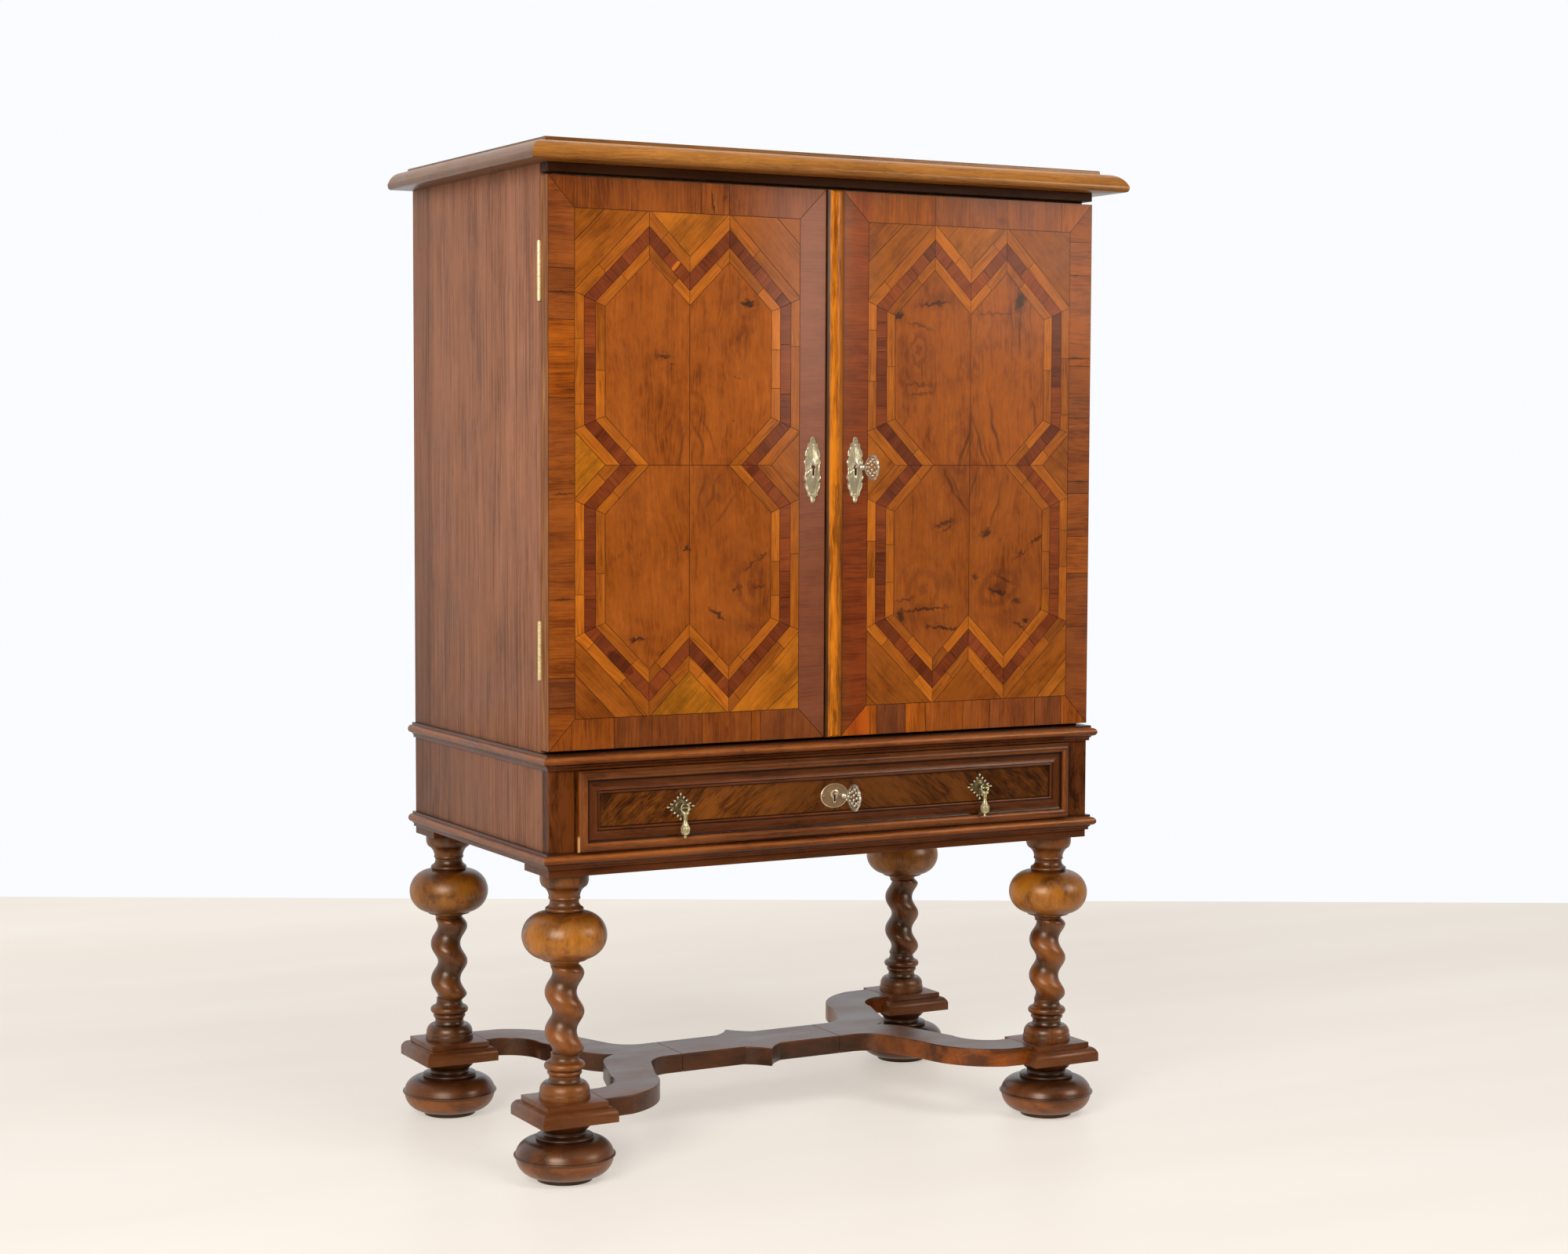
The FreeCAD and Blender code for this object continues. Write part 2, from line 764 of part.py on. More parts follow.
def knuckle_spans(z0, moving):
    """Lower and upper end of each moving or fixed knuckle; the two end ones are fixed."""
    pitch = hinge_length / knuckles
    spans = []
    for i in range(knuckles):
        low = z0 + i * pitch + (knuckle_gap / 2 if i > 0 else 0)
        high = z0 + (i + 1) * pitch - (knuckle_gap / 2 if i < knuckles - 1 else 0)
        if (i % 2 == 1) == moving:
            spans.append((low, high))
    return spans


def screw_shape(z, moving):
    """A countersunk screw through the middle of a leaf; moving leaves are screwed to the door."""
    x = half_width - leaf_width / 2
    way = -1 if moving else 1
    y = hinge_plane + way * leaf_gap
    head = Part.makeCone(screw_head_radius, screw_radius, leaf_thickness,
                         FreeCAD.Vector(x, y, z), FreeCAD.Vector(0, way, 0))
    shank = rod(screw_radius, (x, y + way * leaf_thickness, z), (0, way * screw_length, 0))
    return head.fuse(shank)


def leaf_screws(z0, moving):
    pitch = hinge_length / screws_per_leaf
    return [screw_shape(z0 + (i + 0.5) * pitch, moving) for i in range(screws_per_leaf)]


def hinge_leaf(z0, moving):
    way = -1 if moving else 1
    near = hinge_plane + way * leaf_gap
    far = near + way * leaf_thickness
    solid = box(half_width - leaf_width, hinge_x, min(near, far), max(near, far),
                z0, z0 + hinge_length)
    for low, high in knuckle_spans(z0, not moving):
        solid = solid.cut(rod(knuckle_radius + knuckle_gap,
                              (hinge_x, hinge_plane, low - knuckle_gap),
                              (0, 0, high - low + 2 * knuckle_gap)))
    for low, high in knuckle_spans(z0, moving):
        solid = solid.fuse(rod(knuckle_radius, (hinge_x, hinge_plane, low),
                               (0, 0, high - low)))
    solid = solid.cut(rod(pin_radius + pin_gap, (hinge_x, hinge_plane, z0),
                          (0, 0, hinge_length)))
    return cut_all(solid, leaf_screws(z0, moving))


def hinge_pin(z0):
    """Pin with a button on each end, resting on the end knuckles."""
    shaft = rod(pin_radius, (hinge_x, hinge_plane, z0), (0, 0, hinge_length))
    buttons = [rod(pin_head_radius, (hinge_x, hinge_plane, z), (0, 0, pin_head_height))
               for z in (z0 + hinge_length, z0 - pin_head_height)]
    return shaft.fuse(buttons)


def hinge_clearance(z0):
    """Room for the barrel and its buttons in the corners of the side and the door."""
    over = pin_head_height + knuckle_gap
    return rod(knuckle_radius + knuckle_gap, (hinge_x, hinge_plane, z0 - over),
               (0, 0, hinge_length + 2 * over))


def hinge_housing(z0):
    """What the fixed leaf and its screws take out of the side."""
    recess = box(half_width - leaf_width, half_width, case_front,
                 hinge_plane + leaf_gap + leaf_thickness, z0, z0 + hinge_length)
    return [recess, hinge_clearance(z0)] + leaf_screws(z0, False)


def door_hinge_housing(z0):
    """What the moving leaf and its screws take out of the door."""
    recess = box(half_width - leaf_width, half_width, hinge_plane - leaf_gap - leaf_thickness,
                 door_thickness, z0, z0 + hinge_length)
    return [recess, hinge_clearance(z0)] + leaf_screws(z0, True)


# ---- keyholes, plates, keys and locks --------------------------------------------------------------
def keyhole(x, z, y0, y1, extra=0.0):
    """Round hole over a slot, through from y0 to y1."""
    slot = keyhole_slot / 2 + extra
    return rod(keyhole_radius + extra, (x, y0, z), (0, y1 - y0, 0)).fuse(
        box(x - slot, x + slot, y0, y1, z - keyhole_drop - extra, z))


def nail(x, z, y_plate):
    """A round-headed nail whose head sits on the plate, which faces forwards at y_plate."""
    sphere_radius = (nail_head_radius ** 2 + nail_head_rise ** 2) / (2 * nail_head_rise)
    ball = Part.makeSphere(sphere_radius,
                           FreeCAD.Vector(x, y_plate + sphere_radius - nail_head_rise, z))
    cap = ball.common(box(x - nail_head_radius, x + nail_head_radius, y_plate - nail_head_rise,
                          y_plate, z - nail_head_radius, z + nail_head_radius))
    return cap.fuse(rod(nail_radius, (x, y_plate, z), (0, nail_length, 0)))


def door_plate_nails(side):
    return [nail(side * escutcheon_x, escutcheon_z + end * (escutcheon_half_height - nail_inset),
                 -plate_thickness) for end in (-1, 1)]


def door_plate(side):
    """Shaped upright plate with a knob at each end. side is -1 on the left door."""
    top = escutcheon_half_height
    up = [(w, rise, bulge) for rise, w, bulge in escutcheon_edge]
    neck_rise, neck = escutcheon_edge[-1][0], escutcheon_edge[-1][1]
    right = [(w, -rise, 0) for w, rise, _ in reversed(up[1:])] + up
    bulges = [bulge for *_, bulge in up[1:]]
    bulges = list(reversed(bulges)) + bulges + [0.0]
    right = [(u, v, b) for (u, v, _), b in zip(right, bulges)]
    right[-1] = (neck, neck_rise, escutcheon_knob_bulge)
    left = [(-u, -v, b) for u, v, b in right]
    outline = right + [(0, top, escutcheon_knob_bulge)] + left + [(0, -top, escutcheon_knob_bulge)]
    left_end = len(right) + 1 + len(left) - 1
    outline[left_end] = (outline[left_end][0], outline[left_end][1], escutcheon_knob_bulge)
    plate = moved(front_solid(outline, -plate_thickness, 0), side * escutcheon_x, 0, escutcheon_z)
    tools = [keyhole(side * escutcheon_x, escutcheon_z + keyhole_rise, -plate_thickness, 0)]
    return cut_all(plate, tools + door_plate_nails(side))


def oval_nails():
    return [nail(side * (oval_half_width - oval_nail_inset), oval_z, field_y - plate_thickness)
            for side in (-1, 1)]


def oval_prism(half_w, half_h, y0, y1):
    ellipse = Part.Ellipse(FreeCAD.Vector(0, y0, oval_z), half_w, half_h)
    edge = ellipse.toShape()
    edge.rotate(FreeCAD.Vector(0, y0, oval_z), FreeCAD.Vector(1, 0, 0), 90)
    return Part.Face(Part.Wire([edge])).extrude(FreeCAD.Vector(0, y1 - y0, 0))


def oval_plate():
    """Oval plate of the drawer with a raised rim."""
    plate = oval_prism(oval_half_width, oval_half_height, field_y - oval_rim_rise, field_y)
    dish = oval_prism(oval_half_width - oval_rim, oval_half_height - oval_rim,
                      field_y - oval_rim_rise, field_y - plate_thickness)
    tools = [dish, keyhole(0, drawer_keyhole_z, field_y - oval_rim_rise, field_y)]
    return cut_all(plate, tools + oval_nails())


def key(x, z, y_plate, shank, lock_front):
    """A key in its lock: openwork bow, collar, hollow shank and a bit that hangs down."""
    y_bow = y_plate - shank
    y_tip = lock_front + lock_depth - lock_wall - slide_gap
    bit_far = y_tip - bit_end
    bit = box(x - bit_thickness / 2, x + bit_thickness / 2, bit_far - bit_length, bit_far,
              z - bit_reach, z)
    collar = rod(key_collar_radius, (x, y_bow, z), (0, key_collar_length, 0))
    middle = y_bow - bow_length / 2

    def oval(half_length, half_height, y_centre, z_centre):
        edge = Part.Ellipse(FreeCAD.Vector(0, 0, 0), max(half_length, half_height),
                            min(half_length, half_height)).toShape()
        if half_height > half_length:
            edge.rotate(FreeCAD.Vector(0, 0, 0), FreeCAD.Vector(0, 0, 1), 90)
        edge.rotate(FreeCAD.Vector(0, 0, 0), FreeCAD.Vector(1, 0, 0), 90)
        edge.rotate(FreeCAD.Vector(0, 0, 0), FreeCAD.Vector(0, 0, 1), 90)
        edge.translate(FreeCAD.Vector(x - bow_thickness / 2, y_centre, z_centre))
        return Part.Face(Part.Wire([edge])).extrude(FreeCAD.Vector(bow_thickness, 0, 0))

    rim = oval(bow_length / 2, bow_half_height, middle, z).cut(
        oval(bow_length / 2 - bow_rim, bow_half_height - bow_rim, middle, z))
    scrolls = []
    for side in (-1, 1):
        centre = z + side * bow_scroll_radius
        scroll = oval(bow_scroll_radius, bow_scroll_radius, middle, centre).cut(
            oval(bow_scroll_radius - bow_scroll_rim, bow_scroll_radius - bow_scroll_rim,
                 middle, centre))
        scrolls.append(scroll)
    bar = box(x - bow_thickness / 2, x + bow_thickness / 2, y_bow - bow_length + bow_rim / 2,
              y_bow - bow_rim / 2, z - bow_scroll_rim / 2, z + bow_scroll_rim / 2)
    shaft = rod(key_radius, (x, y_bow - bow_rim / 2, z), (0, y_tip - y_bow + bow_rim / 2, 0))
    solid = shaft.fuse([bit, collar, rim, bar] + scrolls)
    return solid.cut(rod(key_bore_radius, (x, y_tip - key_bore_depth, z), (0, key_bore_depth, 0)))


def lock_case(x0, x1, z0, z1, y_front, x_key, z_key):
    """A flat box on the back of a door or drawer, with a post for the hollow key."""
    y_back = y_front + lock_depth
    shell = box(x0, x1, y_front, y_back, z0, z1).cut(
        box(x0 + lock_wall, x1 - lock_wall, y_front + lock_wall, y_back - lock_wall,
            z0 + lock_wall, z1 - lock_wall))
    shell = shell.cut(keyhole(x_key, z_key, y_front, y_front + lock_wall))
    post = rod(lock_post_radius, (x_key, y_back - lock_wall, z_key),
               (0, lock_wall - key_bore_depth - slide_gap, 0))
    return shell.fuse(post)


door_keyhole_z = escutcheon_z + keyhole_rise


def bolt_y(y_front):
    """Front and back of a lock bolt inside a case that starts at y_front."""
    middle = y_front + lock_depth / 2
    return middle - bolt_thickness / 2, middle + bolt_thickness / 2


def door_bolt():
    y0, y1 = bolt_y(door_thickness)
    z0 = door_keyhole_z + bit_reach + bolt_clear
    return box(-door_lock_left - lock_wall, door_lock_right - lock_wall - slide_gap, y0, y1,
               z0, z0 + bolt_height)


def door_lock_case():
    case = lock_case(-door_lock_left, door_lock_right, door_keyhole_z - door_lock_below,
                     door_keyhole_z + door_lock_above, door_thickness, escutcheon_x,
                     door_keyhole_z)
    y0, y1 = bolt_y(door_thickness)
    z0 = door_keyhole_z + bit_reach + bolt_clear
    mouth = box(-door_lock_left, lock_wall - door_lock_left, y0 - slide_gap, y1 + slide_gap,
                z0 - slide_gap, z0 + bolt_height + slide_gap)
    return case.cut(mouth)


def drawer_bolt_y():
    return bolt_y(drawer_back_y)


def drawer_bolt():
    y0, y1 = drawer_bolt_y()
    z0 = drawer_keyhole_z + bit_reach + bolt_clear
    return box(-drawer_bolt_half_width, drawer_bolt_half_width, y0, y1, z0, z_drawer_top)


def drawer_lock_case():
    z1 = z_drawer_top
    case = lock_case(-drawer_lock_half_width, drawer_lock_half_width,
                     drawer_keyhole_z - drawer_lock_below, z1, drawer_back_y, 0, drawer_keyhole_z)
    y0, y1 = drawer_bolt_y()
    w = drawer_bolt_half_width + slide_gap
    return case.cut(box(-w, w, y0 - slide_gap, y1 + slide_gap, z1 - lock_wall, z1))


# ---- doors -----------------------------------------------------------------------------------------
def door_core(side):
    """A door behind its veneer. side is -1 on the left; the right one reaches under the
    closing strip."""
    inner = -astragal_width / 2 if side > 0 else astragal_width / 2 + meeting_gap
    solid = box(inner, half_width, veneer, door_thickness, z_door, z_door + door_height)
    solid = cut_all(solid, [tool for z in hinge_places() for tool in door_hinge_housing(z)])
    if side < 0:
        solid = mirrored(solid)
    else:
        solid = solid.cut(keyhole(escutcheon_x, door_keyhole_z, veneer, door_thickness,
                                  wood_hole_extra))
    return cut_all(solid, door_plate_nails(side))


def band_outline(growth):
    """Upright outline of the patterned band, with its middle line moved out by growth."""
    slant = growth * (math.sqrt(2) - 1)          # extra run where 45 degrees meets a straight
    corner = growth * math.sqrt(2)               # extra run where two slants meet
    w = band_half_width + growth
    shoulder = band_half_height - (band_half_width - band_apex) + slant
    waist = band_waist - slant
    quarter = [
        (0, band_half_height - band_apex + corner),
        (band_apex, band_half_height + corner),
        (w, shoulder),
        (w, waist),
        (band_half_width - band_waist + corner, 0),
    ]
    right = quarter + [(x, -z) for x, z in reversed(quarter[:-1])]
    return right + [(-x, z) for x, z in reversed(right[1:-1])]


def veneer_prism(corners):
    z_middle = z_door + door_height / 2
    return moved(front_solid([(x, z, 0) for x, z in corners], 0, veneer), field_centre, 0,
                 z_middle)


def door_veneer(side):
    """Veneer of one door, as its separate strips and panels, all flush on the core."""
    w, h = field_half_width, field_half_height
    field = [(-w, -h), (w, -h), (w, h), (-w, h)]
    inner = (astragal_width / 2 if side > 0 else astragal_width / 2 + meeting_gap) - field_centre
    outer = half_width - field_centre
    edge = door_height / 2
    whole = [(inner, -edge), (outer, -edge), (outer, edge), (inner, edge)]
    border = [veneer_prism([whole[i], whole[(i + 1) % 4], field[(i + 1) % 4], field[i]])
              for i in range(4)]
    field_solid = veneer_prism(field)
    grown = [dark_strip / 2 + outer_strip, dark_strip / 2, -dark_strip / 2,
             -dark_strip / 2 - inner_strip]
    rings = [veneer_prism(band_outline(growth)).common(field_solid) for growth in grown]
    strips = [big.cut(small) for big, small in zip(rings, rings[1:])]
    ground = field_solid.cut(rings[0]).Solids
    z_middle = z_door + door_height / 2
    reach = case_width
    quarters = [rings[-1].common(box(*sorted((field_centre, field_centre + u * reach)), 0, veneer,
                                     *sorted((z_middle, z_middle + v * reach))))
                for u in (-1, 1) for v in (-1, 1)]
    pieces = border + strips + ground + quarters
    if side < 0:
        pieces = [mirrored(piece) for piece in pieces]
        tools = door_plate_nails(side)
    else:
        tools = door_plate_nails(side) + [
            keyhole(escutcheon_x, door_keyhole_z, 0, veneer, wood_hole_extra)]
    tools += [mirrored(tool) if side < 0 else tool
              for z in hinge_places() for tool in [hinge_clearance(z)]]
    return group(cut_all(piece, tools) for piece in pieces)


def astragal():
    """Half-round closing strip on the meeting edge of the right-hand door."""
    w = astragal_width / 2
    rise = astragal_proud - astragal_square
    outline = [(-w, veneer, 0), (-w, -astragal_square, rise), (w, -astragal_square, 0),
               (w, veneer, 0)]
    z0, z1 = z_door, z_door + door_height
    solid = plan_solid(outline, z0, z1)
    nose = -astragal_proud - nick
    side_view = [
        (veneer, z0, 0), (-astragal_square, z0, -astragal_end_bulge),
        (nose, z0 + astragal_end_round, 0),
        (nose, z1 - astragal_end_round, -astragal_end_bulge), (-astragal_square, z1, 0),
        (veneer, z1, 0),
    ]
    ends = face_of(side_view, lambda y, z: FreeCAD.Vector(-w, y, z)).extrude(
        FreeCAD.Vector(astragal_width, 0, 0))
    return solid.common(ends)


def left_bolt():
    """Upright bolt on the back of the left-hand door, drawn up at rest."""
    y0, y1 = left_bolt_y()
    z0 = z_cupboard + board + left_bolt_seat_gap
    half = left_bolt_width / 2
    bar = box(-left_bolt_x - half, -left_bolt_x + half, y0, y1, z0, z0 + left_bolt_length)
    knob = rod(knob_radius, (-left_bolt_x, y1, z0 + left_bolt_length / 2), (0, knob_length, 0))
    return bar.fuse(knob)


def left_door_fittings():
    """Plate and staples of the left-hand door's bolt, and the strike for the lock's bolt."""
    y0, y1 = left_bolt_y()
    z_bolt = z_cupboard + board + left_bolt_seat_gap
    z_low = z_bolt + staple_height
    half = left_bolt_plate_width / 2
    x0, x1 = -left_bolt_x - half, -left_bolt_x + half
    plate = box(x0, x1, door_thickness, door_thickness + left_bolt_plate_thickness,
                z_low, z_low + left_bolt_plate_length)
    hole = left_bolt_width / 2 + slide_gap
    staples = []
    for z in (z_low, z_low + left_bolt_plate_length - staple_height):
        outer = box(-left_bolt_x - hole - staple_wall, -left_bolt_x + hole + staple_wall,
                    door_thickness + left_bolt_plate_thickness, y1 + slide_gap + staple_wall,
                    z, z + staple_height)
        staples.append(outer.cut(box(-left_bolt_x - hole, -left_bolt_x + hole,
                                     door_thickness + left_bolt_plate_thickness, y1 + slide_gap,
                                     z, z + staple_height)))
    front, _ = bolt_y(door_thickness)
    z_strike = door_keyhole_z + bit_reach + bolt_clear + bolt_height / 2
    edge = -astragal_width / 2 - meeting_gap
    strike = box(edge - strike_width, edge, door_thickness, front - strike_gap,
                 z_strike - strike_height / 2, z_strike + strike_height / 2)
    return [plate] + staples + [strike]


# ---- drawer ----------------------------------------------------------------------------------------
def drawer_front():
    solid = box(-drawer_half_width, drawer_half_width, field_y, drawer_back_y,
                z_drawer_bottom, z_drawer_top)
    tools = [keyhole(0, drawer_keyhole_z, field_y, drawer_back_y, wood_hole_extra)]
    return cut_all(solid, tools + oval_nails() + pull_post_holes())


def frame_length(half_length, half_depth, turn):
    """One mitred length of the drawer's frame, drawn along the bottom of a frame whose middle is
    at the origin, then turned into its place."""
    bar = face_of([(inward, rise, -bulge) for inward, rise, bulge in frame_profile],
                  lambda inward, rise: FreeCAD.Vector(-half_length, field_y - rise,
                                                      inward - half_depth))
    bar = bar.extrude(FreeCAD.Vector(2 * half_length, 0, 0))
    depth = frame_profile[-1][0]
    zone = front_solid([
        (-half_length, -half_depth, 0), (half_length, -half_depth, 0),
        (half_length - depth, depth - half_depth, 0), (depth - half_length, depth - half_depth, 0),
    ], field_y - depth, field_y)
    piece = bar.common(zone)
    piece.rotate(FreeCAD.Vector(0, 0, 0), FreeCAD.Vector(0, 1, 0), turn)
    return piece


def drawer_frame_moulding():
    """Torus, hollow and bead round the drawer front's field, in four mitred lengths."""
    w, h = drawer_half_width, (z_drawer_top - z_drawer_bottom) / 2
    lengths = [frame_length(w, h, 0), frame_length(w, h, 180), frame_length(h, w, 90),
               frame_length(h, w, -90)]
    return [moved(length, 0, 0, z_drawer_middle) for length in lengths]


def drawer_box():
    """Two sides and the back."""
    outer = inside - guide_width - drawer_side_gap
    y1 = drawer_back_y + drawer_length
    z1 = z_drawer_bottom + drawer_side_height
    side = box(outer - thin_board, outer, drawer_back_y, y1, z_drawer_bottom, z1)
    back = box(thin_board - outer, outer - thin_board, y1 - thin_board, y1,
               z_drawer_bottom + drawer_bottom_rise, z1)
    return both_sides(side) + [back]


def drawer_bottom():
    outer = inside - guide_width - drawer_side_gap - thin_board
    z0 = z_drawer_bottom + drawer_bottom_rise
    return box(-outer, outer, drawer_back_y, drawer_back_y + drawer_length - thin_board,
               z0, z0 + drawer_bottom_thickness)


# ---- pulls -----------------------------------------------------------------------------------------
pull_y = field_y - pull_axis_proud


def pull_post_holes():
    """Holes for the posts of the pulls, halfway through the drawer front."""
    return [rod(pull_post_radius + glue_gap, (side * pull_x, field_y, pull_axis_z),
                (0, pull_post_length + glue_gap, 0)) for side in (-1, 1)]


def pull_plate():
    """Diamond plate with beads along its edges, and the lug that carries the drop."""
    w, h = pull_plate_half_width, pull_plate_half_height
    outline = [(0, -h, -pull_plate_waist), (w, 0, -pull_plate_waist), (0, h, -pull_plate_waist),
               (-w, 0, -pull_plate_waist)]
    plate = front_solid(outline, field_y - pull_plate_thickness, field_y)
    beads = []
    corners = [(0, -h), (w, 0), (0, h), (-w, 0)]
    for (x0, z0), (x1, z1) in zip(corners, corners[1:] + corners[:1]):
        length = math.hypot(x1 - x0, z1 - z0)
        for i in range(pull_beads_per_side):
            t = i / pull_beads_per_side
            sink = 4 * pull_plate_waist * t * (1 - t)
            x = x0 + (x1 - x0) * t - sink * (z1 - z0) / length
            z = z0 + (z1 - z0) * t + sink * (x1 - x0) / length
            beads.append(Part.makeSphere(
                pull_bead_radius, FreeCAD.Vector(x, field_y - pull_plate_thickness, z)))
    front_half = box(-2 * w, 2 * w, field_y - 4 * pull_bead_radius, field_y, -2 * h, 2 * h)
    solid = plate.fuse([bead.common(front_half) for bead in beads])
    lug = box(-pull_lug_width / 2, pull_lug_width / 2, pull_y, field_y,
              -pull_lug_radius, pull_lug_radius)
    nose = rod(pull_lug_radius, (-pull_lug_width / 2, pull_y, 0), (pull_lug_width, 0, 0))
    shank = rod(pull_post_radius, (0, field_y - pull_plate_thickness, 0),
                (0, pull_plate_thickness + pull_post_length, 0))
    solid = solid.fuse([lug, nose, shank])
    solid = solid.cut(rod(pull_pin_radius + pin_gap, (-pull_lug_width, pull_y, 0),
                          (2 * pull_lug_width, 0, 0)))
    return moved(solid, 0, 0, pull_axis_z)


def pull_drop(side):
    """The hanging drop: tip, belly, throat and collar, with two arms and the pin between them."""
    height = sum(step[0] for step in pull_turning)
    z_collar = pull_axis_z - pull_collar_drop
    z_turned = z_collar - height
    body = turned(pull_drop_start, pull_turning, z_turned)
    tip = Part.makeSphere(pull_tip_radius, FreeCAD.Vector(0, 0, z_turned - pull_tip_sink))
    inner = pull_lug_width / 2 + pull_arm_gap
    outer = inner + pull_arm_width
    arm = box(inner, outer, -pull_lug_radius, pull_lug_radius, z_collar - pull_arm_root,
              pull_axis_z).fuse(rod(pull_lug_radius, (inner, 0, pull_axis_z),
                                    (pull_arm_width, 0, 0)))
    pin = rod(pull_pin_radius, (-outer, 0, pull_axis_z), (2 * outer, 0, 0))
    solid = body.fuse([tip, arm, mirrored(arm), pin])
    return moved(solid, side * pull_x, pull_y, 0)


# ---- all the pieces ----------------------------------------------------------------------------------
def save(name, shape):
    """Write one piece, moved so that the origin is under the middle of the cabinet."""
    moved(shape, y=-y_middle).exportStep(os.path.join("parts", name + ".step"))


def pieces():
    """Every named piece, in the order in which the cabinet goes together."""
    yield "feet", group(moved(foot(), x, y) for x, y in leg_places)
    yield "plinth_blocks", group(moved(plinth(math.copysign(1, x)), x, y) for x, y in leg_places)
    for name, (x, y) in zip(leg_names, leg_places):
        one_leg = leg()
        one_leg.rotate(FreeCAD.Vector(0, 0, 0), FreeCAD.Vector(0, 0, 1), twist_phases[name])
        yield "leg_" + name, moved(one_leg, x, y)
    yield "stretcher_bar", stretcher_bar()
    yield "stretcher_fork_right", stretcher_fork()
    yield "stretcher_fork_left", mirrored(stretcher_fork())
    yield "stand_rails", group(stand_rails())

    yield "drawer_case_sides", group(both_sides(drawer_case_side()))
    yield "front_stiles", group(both_sides(front_stile()))
    yield "bottom_rail", bottom_rail()
    yield "drawer_case_bottom", drawer_case_bottom()
    yield "drawer_case_back", drawer_case_back()
    yield "drawer_runners", group(p for half in runner_and_guide() for p in both_sides(half))
    yield "waist_board", waist_board()
    yield "base_moulding_front", planted("front", z_case, base_height)
    yield "base_moulding_returns", group(both_sides(planted("side", z_case, base_height)))
    yield "waist_moulding_front", planted("front", z_waist, waist_height)
    yield "waist_moulding_returns", group(both_sides(planted("side", z_waist, waist_height)))

    side = cupboard_side()
    yield "cupboard_side_right", side
    yield "cupboard_side_left", mirrored(side)
    yield "cupboard_bottom", cupboard_bottom()
    yield "cupboard_top", cupboard_top()
    yield "cupboard_back", cupboard_back()
    yield "frieze_rail", frieze_rail()
    yield "shelf", shelf()
    yield "shelf_battens", group(both_sides(shelf_batten()))
    yield "cornice_front", cornice("front")
    yield "cornice_returns", group(both_sides(cornice("side")))
    yield "cornice_back", cornice_back()
    yield "cap_board", cap_board()

    fixed, moving = [[hinge_leaf(z, swings) for z in hinge_places()]
                     + [screw for z in hinge_places() for screw in leaf_screws(z, swings)]
                     for swings in (False, True)]
    yield "hinge_fixed_leaves", group(p for half in fixed for p in both_sides(half))
    yield "hinge_pins", group(p for z in hinge_places() for p in both_sides(hinge_pin(z)))
    yield "left_door", door_core(-1)
    yield "left_door_veneer", door_veneer(-1)
    yield "left_door_hinge_leaves", group(mirrored(leaf) for leaf in moving)
    yield "left_escutcheon", group([door_plate(-1)] + door_plate_nails(-1))
    yield "left_door_fittings", group(left_door_fittings())
    yield "left_door_bolt", left_bolt()

    yield "right_door", door_core(1)
    yield "right_door_veneer", door_veneer(1)
    yield "right_door_hinge_leaves", group(moving)
    yield "astragal", astragal()
    yield "right_escutcheon", group([door_plate(1)] + door_plate_nails(1))
    yield "door_lock_case", door_lock_case()
    yield "door_lock_bolt", door_bolt()
    yield "door_key", key(escutcheon_x, door_keyhole_z, -plate_thickness, door_key_shank,
                          door_thickness)

    yield "drawer_front", drawer_front()
    yield "drawer_frame_moulding", group(drawer_frame_moulding())
    yield "drawer_box", group(drawer_box())
    yield "drawer_bottom", drawer_bottom()
    yield "drawer_escutcheon", group([oval_plate()] + oval_nails())
    yield "drawer_lock_case", drawer_lock_case()
    yield "drawer_lock_bolt", drawer_bolt()
    yield "drawer_key", key(0, drawer_keyhole_z, field_y, drawer_key_shank, drawer_back_y)
    yield "pull_plates", group(moved(pull_plate(), s * pull_x) for s in (-1, 1))
    yield "left_pull", pull_drop(-1)
    yield "right_pull", pull_drop(1)


os.makedirs("parts", exist_ok=True)
for piece_name, piece_shape in pieces():
    save(piece_name, piece_shape)
    print(piece_name, len(piece_shape.Solids), round(piece_shape.Volume), piece_shape.isValid())
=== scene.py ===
"""Looks of a veneered cabinet on a twist-turned stand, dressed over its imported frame.

Pieces are drawn in millimetres: X along the front to the right, Y from the doors' faces to the
back, Z up from the floor. lay_down() moves a finished piece into the frame, in metres.
"""
import math
import random
from functools import partial

import bmesh
import bpy
from bpy.props import FloatProperty, FloatVectorProperty, IntProperty, PointerProperty
from bmesh.types import BMEdge, BMFace, BMVert
from mathutils import Matrix, Vector


